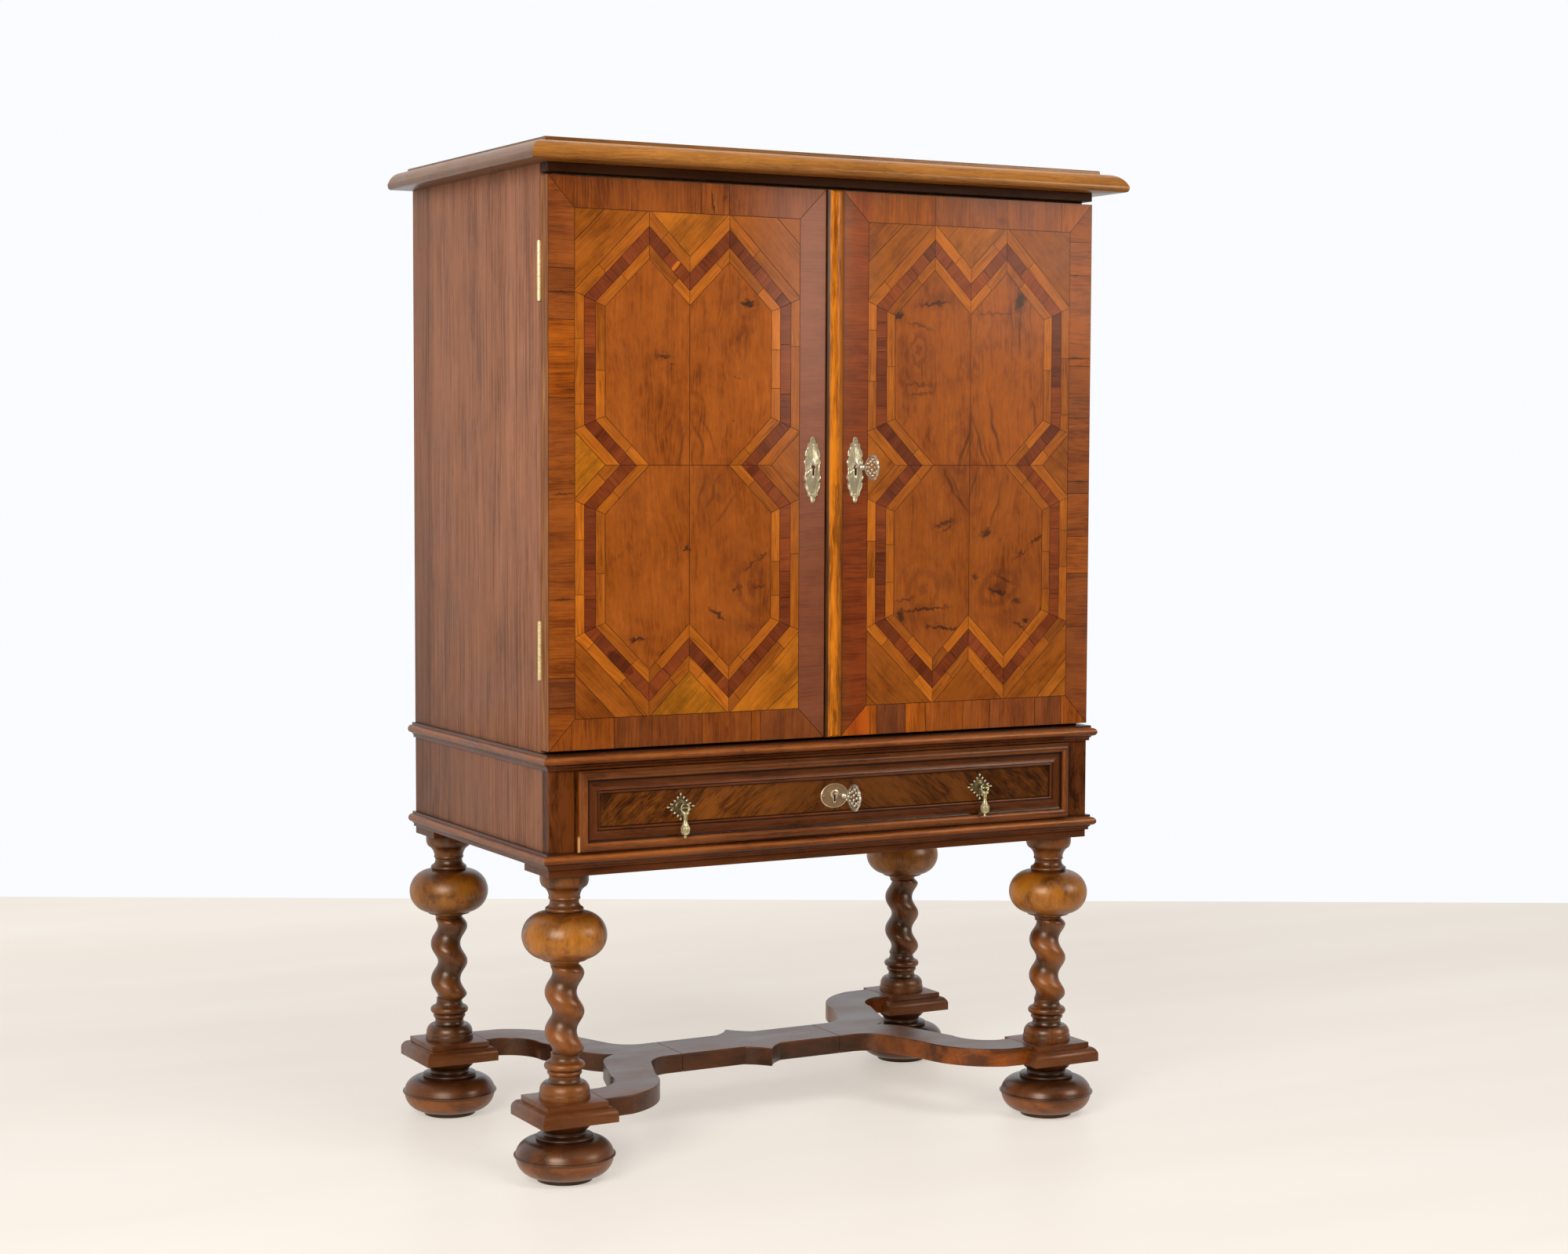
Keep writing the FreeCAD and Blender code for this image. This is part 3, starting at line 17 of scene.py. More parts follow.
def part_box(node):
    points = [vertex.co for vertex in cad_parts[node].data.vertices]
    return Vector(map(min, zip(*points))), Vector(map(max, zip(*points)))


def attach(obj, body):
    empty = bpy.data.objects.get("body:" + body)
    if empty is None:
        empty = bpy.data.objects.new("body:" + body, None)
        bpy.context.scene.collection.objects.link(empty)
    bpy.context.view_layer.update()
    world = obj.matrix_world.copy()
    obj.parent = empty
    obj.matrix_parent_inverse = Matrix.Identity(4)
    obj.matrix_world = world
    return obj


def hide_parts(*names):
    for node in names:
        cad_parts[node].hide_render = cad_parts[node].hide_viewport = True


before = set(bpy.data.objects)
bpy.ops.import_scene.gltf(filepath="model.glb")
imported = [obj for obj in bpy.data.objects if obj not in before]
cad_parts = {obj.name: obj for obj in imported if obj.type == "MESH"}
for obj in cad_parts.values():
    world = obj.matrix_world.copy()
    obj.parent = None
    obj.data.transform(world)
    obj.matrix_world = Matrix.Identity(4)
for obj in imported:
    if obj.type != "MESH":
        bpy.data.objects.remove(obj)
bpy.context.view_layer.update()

bl_info = {
    "name": "Veneered Cabinet on Stand",
    "version": (1, 0, 0),
    "blender": (4, 5, 0),
    "location": "3D View > Sidebar > Cabinet",
    "description": "Dresses a cabinet on a twist-turned stand: veneers, turnings, mouldings, brass",
    "category": "Object",
}

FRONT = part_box("left_door_veneer")[0].y          # plane of the doors' faces, metres
MM = 0.001
INTO_FRAME = Matrix.Translation((0, FRONT, 0)) @ Matrix.Scale(MM, 4)

# ---- sizes of the cabinet, millimetres ----
CASE_HALF = 470.0
CASE_DEPTH = 530.0
LEG_X = 427.3
LEG_Y_FRONT, LEG_Y_BACK = 41.2, 495.5
Z_PLINTH, Z_LEG, Z_CASE = 91.0, 121.0, 467.0
Z_WAIST, Z_CORNICE = 611.0, 1482.5
Z_DOOR, DOOR_HEIGHT = 639.0, 825.5
DOOR_MIDDLE = Z_DOOR + DOOR_HEIGHT / 2
SIDES = ((-1, "left"), (1, "right"))
DRAWER_HALF = 428.0
Z_DRAWER_LOW, Z_DRAWER_HIGH = 491.4, 610.0
DRAWER_FIELD = -7.0                              # plane of the drawer front's field
VENEER = 1.2
ARRIS_ANGLE = 32                                 # edges sharper than this are softened

PLINTH_HALF, PLINTH_TOP_HALF, PLINTH_SLAB, PLINTH_FILLET = 60.5, 49.0, 9.0, 7.0
# Turnings from the bottom up: height of the step, radius at its top, bulge outwards.
FOOT = (41.0, [(6, 41, 0), (1, 47, 0), (28.6, 72.6, 7), (0.6, 74.9, 0), (2.4, 75, 0.5),
               (0.6, 72.8, 0), (21.8, 47, 6.2), (0.5, 41.5, 0),
               (5.5, 41.5, 1.8), (1, 32, 0), (8, 33.5, -1.6), (15, 43, 1.8)])
LEG_LOWER = (38.0, [(8.5, 38, 0), (1.5, 36.8, 0), (15, 30, 2.5), (0.5, 25, 0), (10, 23.5, -1.5),
                    (0.5, 24, 0), (6.5, 24, 1.8), (1, 26.5, 0), (11.5, 25, 4.5),
                    (9, 20.3, -1.5), (4, 20.3, 0)])
LEG_UPPER = (20.5, [(4, 21.2, 0), (6, 32.7, -2.2), (2.5, 33.5, 0.6), (68, 33, 29.7),
                    (1, 26.5, 0), (7, 26, 2.4), (11, 22, -2), (4, 23, 1.2), (16, 33, -2.5),
                    (11, 36.1, 1), (7.5, 36.1, 0)])
TWIST_LOW, TWIST_HIGH = 185.0, 321.0
Z_LEG_UPPER = 317.0                              # foot of the upper turning
# The twist's ends: radius of the neck, radius and length of the swell, and rounding of its root.
TWIST_NECK, TWIST_SWELL, TWIST_RUN_OUT, TWIST_BLEND = 20.4, 31.0, 14.0, 1.6
TWIST_FLATS, TWIST_RISE = 56, 2.0                # flats round it, height from ring to ring
# Where the strand lies at the top of each leg's twist, degrees round the leg.
TWIST_PHASES = {"front_left": -103, "front_right": -79, "back_left": -114, "back_right": -59}
# Planted mouldings and cornice: height of the step, projection at its top, bulge outwards.
PLANTED = (3.5, [(2.2, 3.5, 0), (3.3, 5.8, -0.9), (1.6, 5.8, 0), (0.6, 8.2, 0),
                 (12.3, 7, 5.3), (0.6, 5.5, 0), (3.4, 5.5, 0)])
CORNICE = (38.0, [(5.5, 42, 1.2), (5.5, 41, 0.8), (16.5, 9.6, 6.5)])
# Frame on the drawer front: distance in from the edge, rise before the field, bulge.
DRAWER_FRAME = [(0, 0, 0), (0, 4.4, 0), (1.2, 5.6, 4.5), (14, 6.9, 0), (14, 4.3, 0),
                (17, 3.8, -1), (29.5, 5.2, 0), (30.5, 3.3, 0.7), (34, 3, 0), (35.5, 0, 0)]
PULL = (1.4, [(1.2, 1.4, 0), (7.5, 7, 2), (4, 7.3, 0.5), (14, 2.8, -1.2), (5, 3.6, 0),
              (1, 5.6, 0), (2.6, 5.6, 0.7)])


def srgb(red, green, blue):
    """Linear values of a colour given as it looks on a display, 0 to 255."""
    def linear(value):
        value /= 255
        return value / 12.92 if value <= 0.04045 else ((value + 0.055) / 1.055) ** 2.4
    return linear(red), linear(green), linear(blue)


def tint(name, description, display):
    """A colour given as it looks on a display."""
    return FloatVectorProperty(name=name, description=description, subtype="COLOR", size=3,
                               min=0, max=1, default=srgb(*display))


def measure(name, description, default):
    """A length given in millimetres."""
    return FloatProperty(name=name, description=description, default=default * MM, min=0,
                         unit="LENGTH", subtype="DISTANCE", precision=4)


class CabinetSizes(bpy.types.PropertyGroup):
    """Sizes that a maker would change without changing the carcase."""
    dark_strip: measure("Dark strip", "Width of the middle strip of the doors' band", 18)
    outer_strip: measure("Outer strip", "Width of the light strip outside it", 17)
    inner_strip: measure("Inner strip", "Width of the light strip inside it", 15)
    band_half_width: measure(
        "Band half width", "From a field's middle to the middle of its dark strip", 160.5)
    band_half_height: measure(
        "Band half height", "From a field's middle to the points of its dark strip", 333)
    band_apex: measure("Point offset", "From a field's middle to each point", 65.7)
    band_waist: measure("Waist depth", "How far the band comes in at its waist", 61)
    joint: measure("Veneer joint", "Width of the open joint between veneers", 0.22)
    arris: measure("Arris", "Width of the softened edges of boards", 1.1)
    twist_strand: measure("Twist strand", "Radius of the round strand", 24)
    twist_offset: measure("Twist offset", "From the leg's axis to the strand's", 6)
    twist_pitch: measure("Twist pitch", "Height of one turn of the twist", 58.2)
    turning_steps: IntProperty(
        name="Turning steps", description="Flats round each turning", default=64, min=12, max=256)


class CabinetColours(bpy.types.PropertyGroup):
    """Main colours of the woods and metals."""
    panel: tint("Panels", "Quartered panels of the doors", (136, 67, 12))
    ground: tint("Ground", "Veneer between band and border", (136, 68, 10))
    light_strip: tint("Light strips", "Outer and inner strips", (152, 80, 12))
    dark_strip: tint("Dark strip", "Middle strip", (106, 44, 14))
    yellow: tint("Yellow ground", "Yellow pieces of the ground", (156, 90, 10))
    # The frieze's dark colour is partly its own wood and partly painted shade under the cornice.
    frieze: tint("Frieze", "Rail under the cornice", (54, 26, 10))
    border: tint("Border", "Cross-grained border of the doors", (131, 63, 5))
    border_red: tint("Red border", "Border beside the closing strip", (116, 63, 40))
    closing_strip: tint("Closing strip", "Strip between the doors", (164, 90, 10))
    side: tint("Sides", "Veneer of the case's sides", (139, 90, 63))
    cornice: tint("Cornice", "Cornice and cap", (147, 94, 33))
    moulding: tint("Mouldings", "Base and waist mouldings", (78, 36, 9))
    walnut: tint("Walnut", "Stiles and rails", (76, 36, 9))
    drawer: tint("Drawer", "Figured field of the drawer", (80, 40, 5))
    turned: tint("Turnings", "Legs", (150, 88, 10))
    turned_dark: tint("Dark turnings", "Feet and plinths", (94, 50, 20))
    stretcher: tint("Stretcher", "Stretcher", (78, 41, 18))
    inside: tint("Inside", "Plain oak inside", (176, 136, 92))
    pale_brass: tint("Pale brass", "Door plates and keys", (186, 172, 138))
    yellow_brass: tint("Yellow brass", "Pulls", (222, 208, 158))
    bronze: tint("Bronze", "Oval plate", (156, 124, 88))
    hinge_brass: tint("Hinge brass", "Hinges", (236, 214, 156))
    floor: tint("Floor", "Floor under the cabinet", (254, 244, 233))
    backdrop: tint("Backdrop", "Seen behind the cabinet", (250, 252, 255))


def sizes():
    return bpy.context.scene.cabinet_sizes


def colours():
    return bpy.context.scene.cabinet_colours


def size(name):
    """One of the cabinet's sizes, in millimetres."""
    return getattr(sizes(), name) / MM


# ---- finishes ----
class Nodes:
    """A shader tree, built node by node."""

    def __init__(self, owner):
        owner.use_nodes = True
        self.tree = owner.node_tree
        self.tree.nodes.clear()

    def add(self, kind, inputs=None, **settings):
        node = self.tree.nodes.new(kind)
        for key, value in settings.items():
            setattr(node, key, value)
        for key, value in (inputs or {}).items():
            self.put(node.inputs[key], value)
        return node

    def put(self, socket, value):
        if isinstance(value, bpy.types.NodeSocket):
            self.tree.links.new(value, socket)
        elif socket.type == "RGBA" and len(value) == 3:
            socket.default_value = (*value, 1)
        else:
            socket.default_value = value

    def object_place(self):
        return self.add("ShaderNodeTexCoord").outputs["Object"]

    def split(self, vector):
        return self.add("ShaderNodeSeparateXYZ", {0: vector}).outputs

    def object_axes(self):
        return self.split(self.object_place())

    def joined(self, x, y, z=0.0):
        return self.add("ShaderNodeCombineXYZ", {0: x, 1: y, 2: z}).outputs[0]

    def math(self, operation, a, b=0.0, clamp=False):
        return self.add("ShaderNodeMath", {0: a, 1: b}, operation=operation,
                        use_clamp=clamp).outputs[0]

    def times(self, a, b):
        return self.math("MULTIPLY", a, b)

    def plus(self, a, b, clamp=False):
        return self.math("ADD", a, b, clamp)

    def minus(self, a, b):
        return self.math("SUBTRACT", a, b)

    def larger(self, a, b):
        return self.math("MAXIMUM", a, b)

    def absolute(self, a):
        return self.math("ABSOLUTE", a)

    def vector(self, operation, a, b=(0, 0, 0)):
        node = self.add("ShaderNodeVectorMath", {0: a, 1: b}, operation=operation)
        return node.outputs["Value" if operation in ("LENGTH", "DOT_PRODUCT") else "Vector"]

    def scaled(self, vector, factor):
        return self.add("ShaderNodeVectorMath", {0: vector, "Scale": factor},
                        operation="SCALE").outputs["Vector"]

    def mapped(self, vector, scale=(1, 1, 1), turn=(0, 0, 0), shift=(0, 0, 0), kind="POINT"):
        return self.add("ShaderNodeMapping", {0: vector, 1: shift, 2: turn, 3: scale},
                        vector_type=kind).outputs[0]

    def noise(self, vector, scale=1.0, detail=2.0, rough=0.5, colour=False):
        node = self.add("ShaderNodeTexNoise",
                        {"Vector": vector, "Scale": scale, "Detail": detail, "Roughness": rough})
        return node.outputs[1 if colour else 0]

    def ragged(self, place, scale, detail, rough, reach):
        """The place, pushed about by a noise."""
        push = self.noise(place, scale, detail, rough, colour=True)
        push = self.scaled(self.vector("SUBTRACT", push, (0.5, 0.5, 0.5)), reach)
        return self.vector("ADD", place, push)

    def span(self, value, low, high, to_low=0.0, to_high=1.0, smooth=True):
        node = self.add("ShaderNodeMapRange", {0: value, 1: low, 2: high, 3: to_low, 4: to_high},
                        interpolation_type="SMOOTHSTEP" if smooth else "LINEAR")
        return node.outputs[0]

    def mix(self, factor, a, b):
        return self.add("ShaderNodeMix", {0: factor, 6: a, 7: b}, data_type="RGBA").outputs[2]

    def toned(self, hue, value):
        return self.add("ShaderNodeHueSaturation", {"Value": value, "Color": hue}).outputs[0]

    def ramp(self, value, stops):
        node = self.add("ShaderNodeValToRGB", {0: value})
        elements = node.color_ramp.elements
        while len(elements) < len(stops):
            elements.new(0.5)
        for element, (place, colour) in zip(elements, stops):
            element.position = place
            element.color = (*colour, 1)
        return node.outputs[0]

    def bump(self, height, distance, strength=1.0, normal=None):
        inputs = {"Height": height, "Distance": distance, "Strength": strength}
        if normal is not None:
            inputs["Normal"] = normal
        return self.add("ShaderNodeBump", inputs).outputs[0]

    def rays(self):
        """Whether a ray is mirrored by something, and whether it comes from the camera."""
        rays = self.add("ShaderNodeLightPath").outputs
        seen = self.larger(rays["Is Camera Ray"], rays["Is Transmission Ray"])
        return rays["Is Glossy Ray"], seen

    def mixed_shader(self, share, a, b):
        return self.add("ShaderNodeMixShader", {0: share, 1: a, 2: b}).outputs[0]


class Finish(Nodes):
    """A material."""

    def __init__(self, name):
        self.material = bpy.data.materials.new(name)
        super().__init__(self.material)

    def shader(self, colour, roughness, normal=None, **uniform):
        inputs = {"Base Color": colour, "Roughness": roughness}
        if normal is not None:
            inputs["Normal"] = normal
        inputs.update({key.replace("_", " "): value for key, value in uniform.items()})
        return self.add("ShaderNodeBsdfPrincipled", inputs).outputs[0]

    def surface(self, *look, **uniform):
        return self.done(self.shader(*look, **uniform))

    def done(self, shader):
        self.add("ShaderNodeOutputMaterial", {0: shader})
        return self.material


def shade(colour, factor, warmth=0.0):
    """A colour made lighter or darker; warmth moves it towards orange."""
    red, green, blue = colour
    return (min(1, red * factor * (1 + warmth)), min(1, green * factor),
            min(1, blue * factor * (1 - warmth)))


def grain_axes(along, across, lengthwise):
    """Scales of a pattern whose streaks run along the given axis."""
    return tuple(lengthwise if axis == along else across for axis in "XYZ")


def wood(name, colour, along="Z", vein=60.0, stretch=10.0, figure=1.0, fibre=1.0, cloud=1.0,
         curl=0.6, pores=0.5, roughness=0.36, coat=0.06, wander=0.006, second=None, marks=None,
         place=None, seam=None, deep=0.58, light=1.28, shine=0.2, wave=0.35, second_deep=None):
    """Polished wood: figure, fibres, curl, clouds, pores and a thin coat of polish.

    along is an axis of the object, or "grain" for veneers, whose pieces carry their own grain
    direction in the UV map "grain" and their tone, seed, joint and redness in "piece".
    """
    f = Finish(name)
    veneered = along == "grain"
    if veneered:
        piece = f.add("ShaderNodeAttribute", attribute_name="piece")
        tone, seed, seamed = f.add("ShaderNodeSeparateColor", {0: piece.outputs["Color"]}).outputs
        redness = piece.outputs["Alpha"]
        flat = f.add("ShaderNodeUVMap", uv_map="grain").outputs[0]
        spot = f.vector("ADD", flat, f.joined(0.0, 0.0, f.times(seed, 3.0)))
        axis = "X"
    else:
        spot = place(f) if place else f.object_place()
        axis = along
    spot = f.ragged(spot, 7.0, 2.0, 0.5, wander * 4)
    broad = f.noise(f.mapped(spot, grain_axes(axis, vein, vein / stretch)), 1, 3, 0.55)
    fine = f.noise(f.mapped(spot, grain_axes(axis, vein * 9, vein * 9 / (stretch * 3))), 1, 4,
                   0.65)
    curly = f.noise(f.mapped(spot, grain_axes(axis, 75, 48)), 1, 3, 0.6)
    clouds = f.noise(f.mapped(spot, grain_axes(axis, 15, 8)), 1, 2, 0.5)
    value = 0.5
    for noise, weight in ((broad, 1.5 * figure), (fine, 1.1 * fibre), (clouds, 1.2 * cloud),
                          (curly, 0.9 * curl)):
        part = f.times(f.minus(noise, 0.5), weight)
        value = f.plus(part, value)
    ramp = f.ramp(value, [(0.1, shade(colour, deep * 0.8, 0.1)),
                          (0.33, shade(colour, (1 + deep) / 2, 0.05)), (0.5, colour),
                          (0.68, shade(colour, (1 + light) / 2, -0.02)),
                          (0.9, shade(colour, light * 1.1, -0.04))])
    if second is not None:
        low = second_deep or deep * 0.9
        other = f.ramp(value, [(0.16, shade(second, low)), (0.4, shade(second, (1 + low) / 2)),
                               (0.56, second), (0.8, shade(second, 1 + (1 - low) / 2))])
        ramp = f.mix(redness, ramp, other)
    pore_noise = f.noise(f.mapped(spot, grain_axes(axis, 1500, 45)), 1, 2, 0.6)
    pore = f.span(pore_noise, 0.6, 0.74)
    hue = f.mix(f.times(pore, pores * 0.45), ramp, shade(colour, 0.22))
    if veneered:
        hue = f.toned(hue, f.times(tone, 2.0))
    if marks:
        hue = marks(f, hue)
    if veneered:
        hue = f.mix(f.times(seamed, 0.85), hue, shade(colour, 0.08))
    elif seam:
        hue = f.mix(f.times(seam(f), 0.8), hue, shade(colour, 0.1))
    rough = f.span(clouds, 0.3, 0.7, roughness - 0.05, roughness + 0.07, smooth=False)
    height = f.minus(f.times(fine, 0.35), f.times(pore, pores))
    normal = f.bump(height, 0.00018, 0.55)
    wavy = f.noise(spot, 9.0, 1.0, 0.4)
    normal = f.bump(wavy, 0.0012, wave, normal)
    return f.surface(hue, rough, normal, Specular_IOR_Level=shine, Coat_Weight=coat,
                     Coat_Roughness=0.12, Specular_Tint=(1.0, 0.8, 0.62, 1.0))


def line_mask(f, value, at, half):
    """1 on a thin line where value is near at."""
    return f.span(f.absolute(f.minus(value, at)), half * 0.4, half, 1.0, 0.0)


def metal(name, colour, tarnish, roughness, spots, grit, metallic):
    """Rubbed metal with duller, darker clouds and a slightly uneven cast surface."""
    f = Finish(name)
    place = f.object_place()
    cloud = f.noise(place, 130, 3, 0.5)
    speck = f.noise(place, 900, 3, 0.6)
    dull = f.span(f.plus(f.times(cloud, 0.75), f.times(speck, 0.25)), 0.4, 0.66)
    hue = f.mix(f.times(dull, spots), colour, tarnish)
    rough = f.span(dull, 0, 1, roughness - 0.05, roughness + 0.14, smooth=False)
    normal = f.bump(f.plus(f.times(speck, 0.5), cloud), 0.00015, grit)
    return f.surface(hue, rough, normal, Metallic=metallic)


def iron():
    f = Finish("lock_iron")
    place = f.object_place()
    cloud = f.noise(place, 60, 5, 0.65)
    grit = f.noise(place, 900, 3, 0.6)
    hue = f.ramp(cloud, [(0.3, srgb(52, 48, 45)), (0.55, srgb(84, 79, 74)),
                         (0.72, srgb(104, 74, 52))])
    rough = f.span(cloud, 0.3, 0.7, 0.42, 0.65, smooth=False)
    return f.surface(hue, rough, f.bump(grit, 0.0003, 0.5), Metallic=0.85)


def shadow_black():
    """Painted shadow inside a keyhole: a near-black cap where there is only shade."""
    f = Finish("keyhole_shadow")
    grain = f.noise(f.object_place(), 400, 2, 0.5)
    hue = f.ramp(grain, [(0.3, srgb(18, 12, 9)), (0.7, srgb(32, 22, 16))])
    return f.surface(hue, 0.8, Specular_IOR_Level=0.15)


def board_seams(f, places):
    """Dark joints between boards, at given distances back."""
    depth = f.object_axes()[1]
    lines = None
    for at in places:
        line = line_mask(f, depth, at, 0.0011)
        lines = line if lines is None else f.larger(lines, line)
    return lines


def board_tones(f, hue):
    """The rear board is duller, and the foot of the side is darker."""
    _, depth, height = f.object_axes()
    rear = f.span(depth, FRONT + 0.44, FRONT + 0.475, 0.0, 0.16)
    deep = f.span(depth, FRONT + 0.05, FRONT + 0.5, 0.0, 0.12)
    low = f.span(height, 1.1, 0.58, 0.0, 0.28)
    dark = f.plus(f.plus(rear, deep), low)
    return f.toned(hue, f.minus(1.1, dark))


def side_veneer():
    """Vertical streaks on three boards whose joints show."""
    joints = [FRONT + 465 * MM, FRONT + 115 * MM]
    return wood("side_veneer", colours().side, "Z", vein=26, stretch=22, figure=0.75,
                fibre=2.2, cloud=0.9, curl=0.4, pores=0.4, roughness=0.42, wander=0.003,
                deep=0.68, light=1.2, shine=0.1, coat=0.0,
                seam=lambda f: board_seams(f, joints), marks=board_tones)


def profile_light_and_shade(f, hue, place, stops):
    """Painted highlights on the high parts of a profile and painted shade in its hollows.

    place is a distance along the profile, in metres; stops are (millimetres, tone) or
    (millimetres, tone, warmth).
    """
    width = stops[-1][0]
    ramp = f.ramp(f.span(place, 0, width * MM, smooth=False),
                  [(at / width, shade((0.2, 0.2, 0.2), tone, *warmth))
                   for at, tone, *warmth in stops])
    return f.vector("MULTIPLY", hue, f.scaled(ramp, 5.0))


def planted_light_and_shade(f, hue):
    """Planted mouldings, from the bottom up: painted highlight on the torus, painted shadow in the
    quirks and under the doors.
    """
    height = f.object_axes()[2]
    upper = f.times(f.math("GREATER_THAN", height, 0.55), (Z_WAIST - Z_CASE) * MM)
    place = f.minus(f.minus(height, Z_CASE * MM), upper)
    return profile_light_and_shade(f, hue, place, [
        (0, 1.2), (2.2, 1.2), (2.6, 0.8), (5.4, 1.1), (5.7, 1.6), (7.0, 1.3),
        (7.4, 0.3), (8.2, 0.5), (10, 1.3), (13, 2.3, -0.1), (16, 3.5, -0.16),
        (18.6, 3.6, -0.16), (19.8, 2.8, -0.14), (20.6, 2.0, -0.1), (21.4, 0.9), (24, 0.4)])


def frame_light_and_shade(f, hue):
    """Frame on the drawer front, from its outer edge in to the field: painted highlights and painted
    shade.
    """
    x, _, height = f.object_axes()
    across = f.minus(DRAWER_HALF * MM, f.absolute(x))
    middle, half = (Z_DRAWER_LOW + Z_DRAWER_HIGH) / 2, (Z_DRAWER_HIGH - Z_DRAWER_LOW) / 2
    away = f.absolute(f.minus(height, middle * MM))
    place = f.math("MINIMUM", across, f.minus(half * MM, away))
    hue = profile_light_and_shade(f, hue, place, [
        (0, 1.4), (1.4, 3.0, -0.14), (3, 1.7, -0.1), (8, 2.2, -0.12), (11.6, 3.0, -0.14),
        (13.6, 1.7, -0.05), (14.1, 0.2), (16.6, 0.25), (17.4, 0.9), (22, 1.0),
        (28.8, 1.25), (29.6, 0.35), (30.8, 0.5), (32.4, 1.3), (33.8, 1.0),
        (34.4, 0.3), (36, 0.2)])
    # Painted shadow of the waist moulding: the frame's top member is darker.
    hue = f.scaled(hue, f.span(height, 0.609, 0.583, 0.6, 1.0))
    # A pale chip low down on the left edge.
    edge = f.minus(DRAWER_HALF * MM, f.times(x, -1.0))
    chip = f.times(f.span(edge, 0.0016, 0.0008), f.span(height, 0.517, 0.511))
    return f.mix(chip, hue, srgb(188, 142, 92))


def leg_tones_and_shade(f, hue):
    """The golden bun stands between darker, redder turnings; painted shade darkens its rims."""
    x, depth, height = f.object_axes()
    low = f.span(height, 0.322, 0.326, 1.0, 0.0)
    high = f.times(f.span(height, 0.393, 0.3985), f.span(height, 0.418, 0.424, 1.0, 0.85))
    dark = f.vector("MULTIPLY", hue, (0.46, 0.36, 0.3))
    # Painted shade on the bun's rims, below and above its middle.
    rim = f.larger(f.span(height, 0.331, 0.35, 0.75, 0.0), f.span(height, 0.37, 0.396, 0.0, 0.8))
    hue = f.mix(rim, hue, f.vector("MULTIPLY", hue, (0.5, 0.42, 0.4)))
    spots = f.noise(f.mapped(f.object_place(), (30, 30, 46)), 1, 4, 0.6)
    knots = f.times(f.span(spots, 0.55, 0.63), 0.55)
    hue = f.mix(knots, hue, f.vector("MULTIPLY", hue, (0.42, 0.34, 0.3)))
    hue = f.mix(f.larger(low, high), hue, dark)
    # Painted shade in the hollows of the twist, by their distance from the nearest leg's axis.
    from_middle = f.minus(depth, FRONT + (LEG_Y_FRONT + LEG_Y_BACK) / 2 * MM)
    from_leg_x = f.minus(f.absolute(x), LEG_X * MM)
    from_leg_y = f.minus(f.absolute(from_middle), (LEG_Y_BACK - LEG_Y_FRONT) / 2 * MM)
    away = f.vector("LENGTH", f.joined(from_leg_x, from_leg_y))
    twisted = f.times(f.span(height, 0.183, 0.195), f.span(height, 0.312, 0.322, 1.0, 0.0))
    groove_shade = f.times(twisted, f.span(away, 0.0165, 0.027, 0.6, -0.22))
    hue = f.scaled(hue, f.minus(1.0, groove_shade))
    # Painted shade: the rear left leg is darker.
    rear_left_shade = f.times(f.span(x, 0.1, -0.1, 0.0, 0.3), f.span(depth, FRONT + 0.2, FRONT + 0.4))
    hue = f.scaled(hue, f.minus(1.0, rear_left_shade))
    # Painted highlights on the collars of the base turning and painted shade in its hollows.
    return profile_light_and_shade(f, hue, f.minus(height, Z_LEG * MM), [
        (0, 0.7), (2, 1.0), (7, 1.2), (9, 0.4), (11, 1.2), (22, 0.9),
        (25.4, 0.35), (34, 0.6), (36.5, 1.0), (42, 1.1), (43.5, 0.5),
        (50, 1.3), (56, 0.7), (62, 0.45), (70, 0.8), (80, 1.0), (190, 1.0),
        (199, 0.95), (209, 1.0), (275, 1.0), (278, 0.4), (281, 0.9),
        (286, 0.5), (296, 0.7), (299, 1.1), (310, 1.0), (317, 0.6),
        (322, 1.1), (340, 0.8)])


def foot_light_and_shade(f, hue):
    """Painted light and shade on the feet: the ball's lower half light and golden, its upper half and
    neck dark.
    """
    height = f.object_axes()[2]
    return profile_light_and_shade(f, hue, height, [
        (0, 0.4), (5.5, 0.45), (7.5, 1.2, -0.02), (20, 1.9, -0.04), (32, 1.8, -0.04),
        (36, 0.8), (38.5, 0.5), (41, 0.95), (50, 0.9), (58, 0.55), (62, 0.25),
        (69, 0.4), (76, 0.4), (91, 0.7)])


def stretcher_tones(f, hue):
    """The stretcher's edges are dark on the left and golden on the right."""
    x, _, height = f.object_axes()
    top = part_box("stretcher_bar")[1].z
    edge = f.span(height, top - 0.001, top - 0.0025)
    golden = f.vector("MULTIPLY", hue, (2.6, 2.0, 0.5))
    dark = f.vector("MULTIPLY", hue, (0.6, 0.5, 0.35))
    return f.mix(edge, hue, f.mix(f.span(x, 0.16, 0.3), dark, golden))


def strip_shade(f, hue):
    """Painted shadow of the closing strip's joint on its left, and painted shade where its round
    falls away on the right.
    """
    across = f.object_axes()[0]
    return profile_light_and_shade(f, hue, f.plus(across, 0.014), [
        (0, 0.1), (2.6, 0.14), (3.4, 0.8), (6, 1.12), (13, 1.1), (19, 0.92),
        (24, 0.8), (28, 0.55)])


def cornice_light_and_shade(f, hue):
    """Painted shade on the cornice's downward nose, a painted highlight on its crown's top edge,
    darker again above it.
    """
    height = f.object_axes()[2]
    return profile_light_and_shade(f, hue, f.minus(height, Z_CORNICE * MM), [
        (0, 0.5, 0.05), (4, 0.65, 0.05), (9, 0.85), (13, 1.0), (20, 1.15),
        (24, 1.35, -0.04), (26.5, 1.9, -0.1), (27.5, 1.2), (28.5, 0.5), (34.5, 0.6)])


